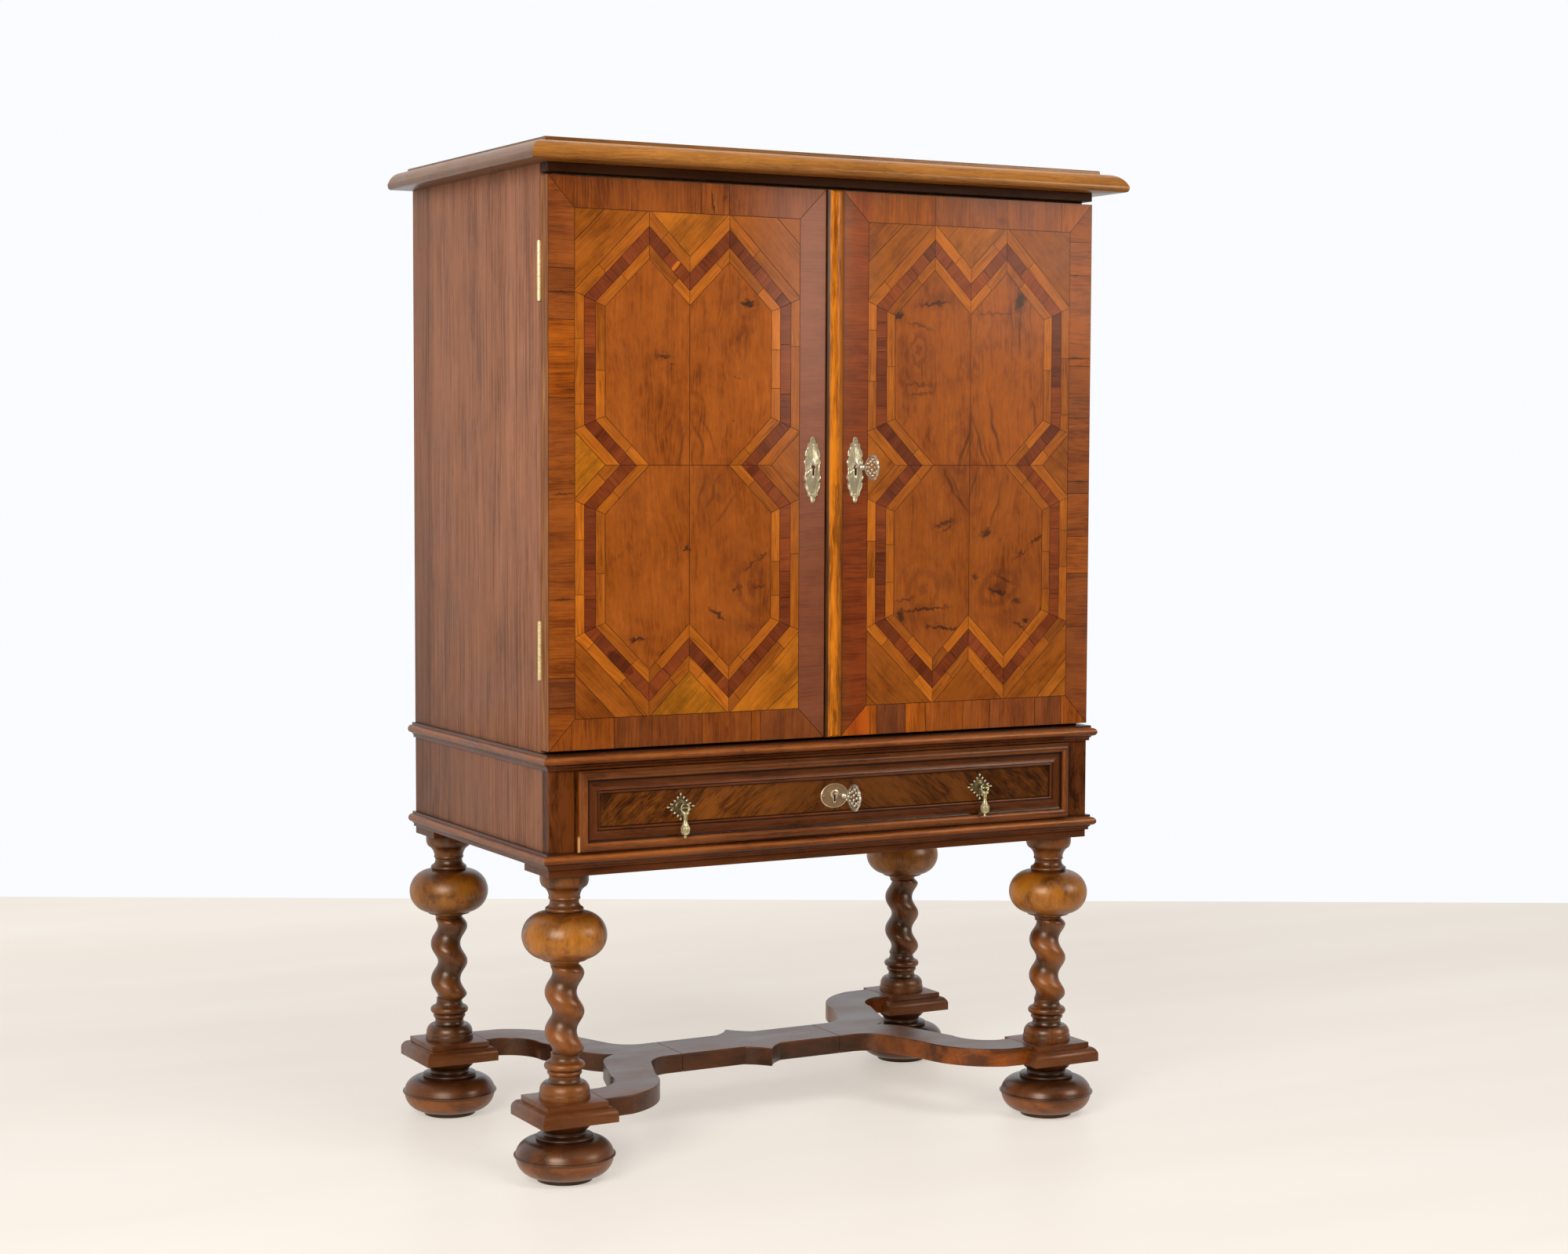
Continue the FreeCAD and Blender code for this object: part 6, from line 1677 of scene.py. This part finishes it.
class CABINET_OT_plates(bpy.types.Operator):
    """Shaped plates of the doors and the oval plate of the drawer"""
    bl_idname = "cabinet.plates"
    bl_label = "Key plates"

    def execute(self, context):
        # Behind the left door's keyhole there is wood.
        for (side, word), hole in zip(SIDES, ("walnut_x", "keyhole")):
            bm = bmesh.new()
            x = PLATE_X * side
            cast_plate(bm, door_plate_outline(x), (x, PLATE_Z + KEYHOLE_UP), 0,
                       [(0, 0.6, 1), (-0.8, 1.9, 1), (-1.3, 2.1, 1), (-2.2, 0.9, 0),
                        (-3.0, 0.6, 0), (0.42, 1.1, 0), (0.55, 1.9, 0), (0.68, 2.6, 0),
                        (0.78, 2.9, 0), (0.82, 3.5, 1), (0.9, 3.8, 1), (0.97, 3.5, 1),
                        (1.0, 2.8, 1), (1.0, 0.5, 2), (2.0, 0.5, 2)])
            plate_faces = len(bm.faces)
            for way in (-1, 1):
                nail_head(bm, x, -1.5, PLATE_Z + way * PLATE_NAIL_UP)
            bm.faces.ensure_lookup_table()
            for face in bm.faces[plate_faces:]:
                face.material_index = 1
            lay_down(word + "_door_plate", bm, word + "_door", [word + "_escutcheon"],
                     ["pale_brass", "pale_rim_highlight", hole], 40)
        bm = bmesh.new()
        steps = [2 * math.pi * k / 112 for k in range(112)]
        half_x, half_z = OVAL_HALF
        outline = [Vector((half_x * math.cos(a), OVAL_Z + half_z * math.sin(a))) for a in steps]
        cast_plate(bm, outline, (0, DRAWER_KEYHOLE_Z), DRAWER_FIELD,
                   [(0, 0.8, 1), (0.02, 1.4, 1), (0.045, 1.7, 1), (0.065, 1.5, 1), (0.085, 0.9, 0),
                    (0.12, 0.8, 0), (0.45, 1.15, 0), (0.7, 1.3, 0), (0.8, 1.35, 0),
                    (0.84, 1.8, 1), (0.91, 2.0, 1), (0.97, 1.8, 1), (1.0, 1.4, 1),
                    (1.0, 0.4, 2), (2.0, 0.4, 2)])
        for way in (-1, 1):
            nail_head(bm, way * OVAL_NAIL_X, DRAWER_FIELD - 1.2, OVAL_Z)
        lay_down("drawer_oval_plate", bm, "drawer", ["drawer_escutcheon"],
                 ["bronze", "bright_rim_highlight", "keyhole"], 40)
        return {"FINISHED"}


SHANK, KEY_BALL = 2.6, 4.7                       # radii of a key's shank and of the ball on it
# Collars of a key: radius, and distance before the start of its bow.
KEY_COLLARS = [(2.2, -3.6), (3.7, -3.0), (4.0, -2.2), (3.7, -1.4), (2.2, -0.8), (2.2, 0.2),
               (3.4, 0.9), (3.4, 2.0), (2.4, 2.8), (0, 4.2)]
# Key bows, from the shank out: reach, distance from the middle line, radius.
BOW_ARM = [(3, 1.6, 1.5), (6, 5.5, 1.6), (10, 10, 1.7), (15, 14.2, 1.9), (20, 16.8, 2.7),
           (26, 17.9, 3.0), (31.5, 16.6, 2.7), (34.5, 14.4, 1.7), (37, 11.4, 2.4),
           (39.3, 8, 2.4), (40.6, 5.2, 1.5), (41.6, 2.6, 2.1), (42, 0, 2.3)]
BOW_BEADS = [(7.5, 0, 2.9), (11.5, 5.6, 2.5), (15.5, 0, 2.4), (18.5, 8.6, 2.6), (23, 3.6, 2.5),
             (25.5, 12.2, 2.3), (30.5, 8.2, 2.5), (32.5, 0, 2.6), (36.6, 5.2, 2.1)]
# Thin bars between two points of a bow: reach and distance of both ends.
BOW_BARS = [(3, 0, 43, 0), (12, 6, 20, 12), (23, 4, 31, 9), (18, 9, 24, 16), (31, 8, 36, 12)]


class CABINET_OT_keys(bpy.types.Operator):
    """Keys with an openwork bow, in the right door and in the drawer"""
    bl_idname = "cabinet.keys"
    bl_label = "Keys"

    def execute(self, context):
        # name, place across, height, start of the bow, far end of the shank
        for name, x, z, bow, tip in (
                ("door_key", PLATE_X, PLATE_Z + KEYHOLE_UP, -28.2, DOOR_TIP),
                ("drawer_key", 0.0, DRAWER_KEYHOLE_Z, -43.0, DRAWER_TIP)):
            bm = bmesh.new()
            edge = [(0, -tip), (2.3, -tip), (SHANK, 0.4 - tip), (SHANK, -12.6 - bow)]
            edge += [(KEY_BALL * math.sin(a), -8.2 - bow - KEY_BALL * math.cos(a))
                     for a in (0.6, 0.9, 1.2, 1.5, 1.8, 2.1, 2.4, 2.6)]
            edge += [(radius, before - bow) for radius, before in KEY_COLLARS]
            lathe(bm, edge, x, 0, 20, "Y", z)
            for up in (-1, 1):
                rows = [Vector((x, bow - a, z + up * b)) for a, b, _ in BOW_ARM]
                line = flowing(rows, 3)
                radii = [point[0] for point in flowing([(r, 0, 0) for _, _, r in BOW_ARM], 3)]
                bent_bar(bm, line, radii, (1, 0, 0))
                for a, b, radius in BOW_BEADS:
                    if b or up == 1:
                        ball(bm, (x, bow - a, z + up * b), (radius,) * 3, None, (10, 7))
                for a, b, c, d in BOW_BARS:
                    if b or d or up == 1:
                        bent_bar(bm, [(x, bow - a, z + up * b), (x, bow - c, z + up * d)],
                                 [0.85, 0.85], (1, 0, 0), 8)
            ball(bm, (x, bow - 42.6, z), (2.1, 2.3, 2.8), None, (12, 8))
            # The key's bit.
            bmesh.ops.create_cube(bm, size=1, matrix=Matrix.Translation(
                (x, tip - 4.5, z - 6.2)) @ Matrix.Diagonal((2.2, 7, 8.6, 1)))
            turn_outward(bm)
            lay_down(name + "_cast", bm, name, [name], ["key_brass"], 50)
        return {"FINISHED"}


class CABINET_OT_pulls(bpy.types.Operator):
    """Diamond plates and the drops that hang from them"""
    bl_idname = "cabinet.pulls"
    bl_label = "Drop pulls"

    def execute(self, context):
        bm = bmesh.new()
        for side in (-1, 1):
            self.plate(bm, side * PULL_X)
        turn_outward(bm)
        lay_down("pull_diamonds", bm, "drawer", ["pull_plates"],
                 ["old_brass", "pale_rim_highlight"], 40)
        for side, word in SIDES:
            bm = bmesh.new()
            self.drop(bm, side * PULL_X)
            turn_outward(bm)
            lay_down(word + "_drop", bm, word + "_pull", [word + "_pull"],
                     ["yellow_brass"], 40)
        return {"FINISHED"}

    def plate(self, bm, x):
        half_x, half_z = PULL_PLATE_HALF
        corners = [(0, -half_z), (half_x, 0), (0, half_z), (-half_x, 0)]
        outline = []
        for a, b in zip(corners, corners[1:] + corners[:1]):
            outline += arc(a, b, -0.7, 12)
        beads = [outline[i] for i in range(len(outline)) if i % 12 in (2, 5, 8, 11)]
        shape = [Vector((p.x, p.y)) * PULL_PLATE_SHARE for p in outline]
        before = [Vector((x + p.x, DRAWER_FIELD, PULL_Z + p.y)) for p in shape]
        edges = first_loop(bm, before)
        for share, rise in PULL_PLATE_RINGS:
            # The diamond turns into a round boss on the way in.
            round_in = max(0.0, min(1.0, (0.84 - share) / 0.3))
            after = []
            for p in shape:
                q = p * share
                r = q.normalized() * share * PULL_BOSS
                q = q.lerp(r, round_in)
                after.append(Vector((x + q.x, DRAWER_FIELD - rise, PULL_Z + q.y)))
            edges = next_loop(bm, edges, before, after)
            before = after
        bmesh.ops.contextual_create(bm, geom=edges)
        balls = len(bm.faces)
        for p in beads:
            turn = Matrix.Rotation(-math.atan2(p.y, p.x), 4, "Y")
            ball(bm, (x + p.x * 0.97, DRAWER_FIELD - 1.8, PULL_Z + p.y * 0.97), (2.5, 1.8, 1.5),
                 turn, (10, 7))
        for dx, dz in ((0, -1), (1, 0), (0, 1), (-1, 0)):
            ball(bm, (x + dx * 20.6, DRAWER_FIELD - 1.2, PULL_Z + dz * 18.8),
                 (2.2 if dx else 1.6, 1.2, 1.6 if dx else 2.2), None, (9, 6))
        bm.faces.ensure_lookup_table()
        for face in bm.faces[balls:]:
            face.material_index = 1
        bent_bar(bm, [(x, DRAWER_FIELD - 1, PULL_Z), (x, PULL_Y + 1, PULL_Z)], [2.2, 1.5],
                 (1, 0, 0))
        ball(bm, (x, PULL_Y, PULL_Z), (1.6, 3.0, 3.0), None, (12, 10))

    def drop(self, bm, x):
        radius, steps = PULL
        edge = climbing(radius, steps, 0, 2.0)
        height = edge[-1].y
        low = PULL_Z - 6.5 - height
        edge = [Vector((0, 0))] + edge + [Vector((0, height))]
        lathe(bm, [(p.x, low + p.y) for p in edge], x, PULL_Y, 48)
        for vert in bm.verts:
            up = vert.co.z - low
            if FLUTES_LOW < up < FLUTES_HIGH:
                away = Vector((vert.co.x - x, vert.co.y - PULL_Y, 0))
                wave = math.cos(FLUTES * math.atan2(away.y, away.x))
                depth = 0.05 * min(1, (up - FLUTES_LOW) / 4) * min(1, (FLUTES_HIGH - up) / 10)
                vert.co += away * (wave - 1) * depth
        ball(bm, (x, PULL_Y, low - 1.4), (2.4, 2.4, 2.3), None, (14, 9))
        for side in (-1, 1):
            line = flowing([(x + side * a, PULL_Y, PULL_Z + b) for a, b in
                            ((1.4, -7.2), (4.6, -5.4), (6.4, -1.6), (6.0, 2.4), (3.6, 4.9))])
            count = len(line) - 1
            bent_bar(bm, line, [1.7 - 0.5 * i / count for i in range(count + 1)], (0, 1, 0))
            ball(bm, line[-1], (1.35, 1.35, 1.35), None, (10, 7))
        bent_bar(bm, [(x - 6.2, PULL_Y, PULL_Z), (x + 6.2, PULL_Y, PULL_Z)], [1.2, 1.2], (0, 1, 0))


# ---- stage ----
CAMERA_TURN = (0.5022, -0.0657, 0.004)           # yaw, pitch and roll, radians
CAMERA_PLACE = (-2.0447, -3.5694, 1.0767)        # metres from the doors' faces, floor and middle
CAMERA_SENSOR, CAMERA_LENS = 36.0, 62.315        # millimetres
FLOOR_HALF, WALL_AHEAD = 9.0, 6.43               # metres; the wall's distance is the camera's
ROOM_IN_FRONT, ROOM_BEHIND, CEILING = 0.1, 0.55, 0.5
# Lamps: place, width, watts, whether they light and whether polish shows them. The top lamp only
# lights, and the side lamp only gives the polish its sheen on the right.
LAMPS = [("key_lamp", (-3.2, -3.0, 2.4), 2.2, 170.0, True, True),
         ("top_lamp", (0.6, -3.2, 3.9), 2.0, 84.0, True, False),
         ("side_lamp", (2.6, -2.7, 2.05), 1.4, 52.0, False, True)]
LAMPS_AIM = (0, 0, 0.9)


class CABINET_OT_stage(bpy.types.Operator):
    """Pale floor, soft studio light and camera"""
    bl_idname = "cabinet.stage"
    bl_label = "Stage, light and camera"

    def execute(self, context):
        yaw, pitch, roll = CAMERA_TURN
        forward = Vector((math.sin(yaw) * math.cos(pitch), math.cos(yaw) * math.cos(pitch),
                          math.sin(pitch)))
        right = Vector((math.cos(yaw), -math.sin(yaw), 0))
        up = right.cross(forward)
        tilted_right = math.cos(roll) * right + math.sin(roll) * up
        tilted_up = -math.sin(roll) * right + math.cos(roll) * up
        place = Vector(CAMERA_PLACE) + Vector((0, FRONT, 0))
        data = bpy.data.cameras.new("camera")
        data.sensor_width, data.lens, data.sensor_fit = CAMERA_SENSOR, CAMERA_LENS, "HORIZONTAL"
        camera = placed("camera", data)
        turn = Matrix((tilted_right, tilted_up, -forward)).transposed().to_4x4()
        camera.matrix_world = Matrix.Translation(place) @ turn
        context.scene.camera = camera

        # The floor ends where the wall stands, square to the camera's view.
        bm = bmesh.new()
        bmesh.ops.create_grid(bm, x_segments=1, y_segments=1, size=FLOOR_HALF)
        bmesh.ops.transform(bm, verts=bm.verts, matrix=Matrix.Translation(
            (place.x, place.y, 0)) @ Matrix.Rotation(-yaw, 4, "Z")
            @ Matrix.Translation((0, WALL_AHEAD - FLOOR_HALF, 0)))
        mesh = bpy.data.meshes.new("floor")
        bm.to_mesh(mesh)
        bm.free()
        floor = placed("floor", mesh)
        mesh.materials.append(floor_finish())
        light_the_stage(context.scene)
        context.scene.view_settings.view_transform = "Standard"
        return {"FINISHED"}


def floor_finish():
    f = Finish("pale_floor")
    place = f.object_place()
    depth = f.split(place)[1]
    glossy, seen = f.rays()
    # What the polish mirrors: the white floor behind the cabinet, a dim one in front of it.
    mirrored = f.times(glossy, f.span(depth, FRONT - 0.9, FRONT))
    dim = f.minus(glossy, mirrored)
    cloud = f.noise(f.mapped(place, (0.6, 3.0, 1)), 1, 3, 0.5)
    colour = colours().floor
    hue = f.ramp(cloud, [(0.3, shade(colour, 0.97)), (0.7, shade(colour, 1.03))])
    hue = f.scaled(hue, f.minus(1.0, f.times(dim, 0.75)))
    lit = f.shader(hue, 0.42, Specular_IOR_Level=0.3)
    # Seen straight on, the floor is evenly pale, and keeps half of its shadows.
    glow = f.add("ShaderNodeEmission", {0: hue}).outputs[0]
    far = f.span(depth, FRONT + 0.7, FRONT + 2.6, 0.5, 0.78)
    share = f.times(f.larger(seen, mirrored), far)
    return f.done(f.mixed_shader(share, lit, glow))


def light_the_stage(scene):
    scene.world = bpy.data.worlds.new("studio")
    w = Nodes(scene.world)
    # The room is bright behind the cabinet and dimmer in front of it.
    _, back, up = w.split(w.add("ShaderNodeTexCoord").outputs["Generated"])
    level = w.larger(w.span(back, -0.7, 0.45, ROOM_IN_FRONT, ROOM_BEHIND),
                     w.span(up, 0.3, 0.85, 0.0, CEILING))
    light = w.add("ShaderNodeBackground", {1: level}).outputs[0]
    backdrop = w.add("ShaderNodeBackground", {0: colours().backdrop}).outputs[0]
    # Metal and polish mirror the white room behind the cabinet, not the dim one in front of it.
    glossy, seen = w.rays()
    shown = w.larger(seen, w.times(glossy, w.span(back, 0.0, 0.7)))
    w.add("ShaderNodeOutputWorld", {0: w.mixed_shader(shown, light, backdrop)})
    for name, place, width, power, lights, shines in LAMPS:
        data = bpy.data.lights.new(name, "AREA")
        data.shape, data.size, data.energy = "SQUARE", width, power
        lamp = placed(name, data)
        lamp.location = place
        lamp.visible_diffuse, lamp.visible_glossy = lights, shines
        aim = Vector(LAMPS_AIM) - Vector(place)
        lamp.rotation_euler = aim.to_track_quat("-Z", "Y").to_euler()


# ---- panel, registration and run ----
STEPS = [CABINET_OT_plates, CABINET_OT_keys, CABINET_OT_pulls, CABINET_OT_feet, CABINET_OT_plinths,
         CABINET_OT_legs, CABINET_OT_stretcher, CABINET_OT_boards, CABINET_OT_mouldings,
         CABINET_OT_cornice, CABINET_OT_door_veneers, CABINET_OT_door_cores,
         CABINET_OT_drawer_front, CABINET_OT_inside, CABINET_OT_locks, CABINET_OT_stage]


class CABINET_PT_panel(bpy.types.Panel):
    """Sizes, colours and steps of the cabinet"""
    bl_idname = "CABINET_PT_panel"
    bl_label = "Cabinet on Stand"
    bl_space_type = "VIEW_3D"
    bl_region_type = "UI"
    bl_category = "Cabinet"

    def draw(self, context):
        layout = self.layout
        for group in (context.scene.cabinet_sizes, context.scene.cabinet_colours):
            box = layout.box()
            for name in group.__annotations__:
                box.prop(group, name)
        column = layout.column()
        for step in STEPS:
            column.operator(step.bl_idname)


CLASSES = [CabinetSizes, CabinetColours] + STEPS + [CABINET_PT_panel]


def register():
    for cls in CLASSES:
        bpy.utils.register_class(cls)
    bpy.types.Scene.cabinet_sizes = PointerProperty(type=CabinetSizes)
    bpy.types.Scene.cabinet_colours = PointerProperty(type=CabinetColours)


def unregister():
    del bpy.types.Scene.cabinet_colours
    del bpy.types.Scene.cabinet_sizes
    for cls in reversed(CLASSES):
        bpy.utils.unregister_class(cls)


def main():
    register()
    for step in STEPS:
        category, name = step.bl_idname.split(".")
        getattr(getattr(bpy.ops, category), name)()
    bpy.context.view_layer.update()


if __name__ == "__main__":
    main()
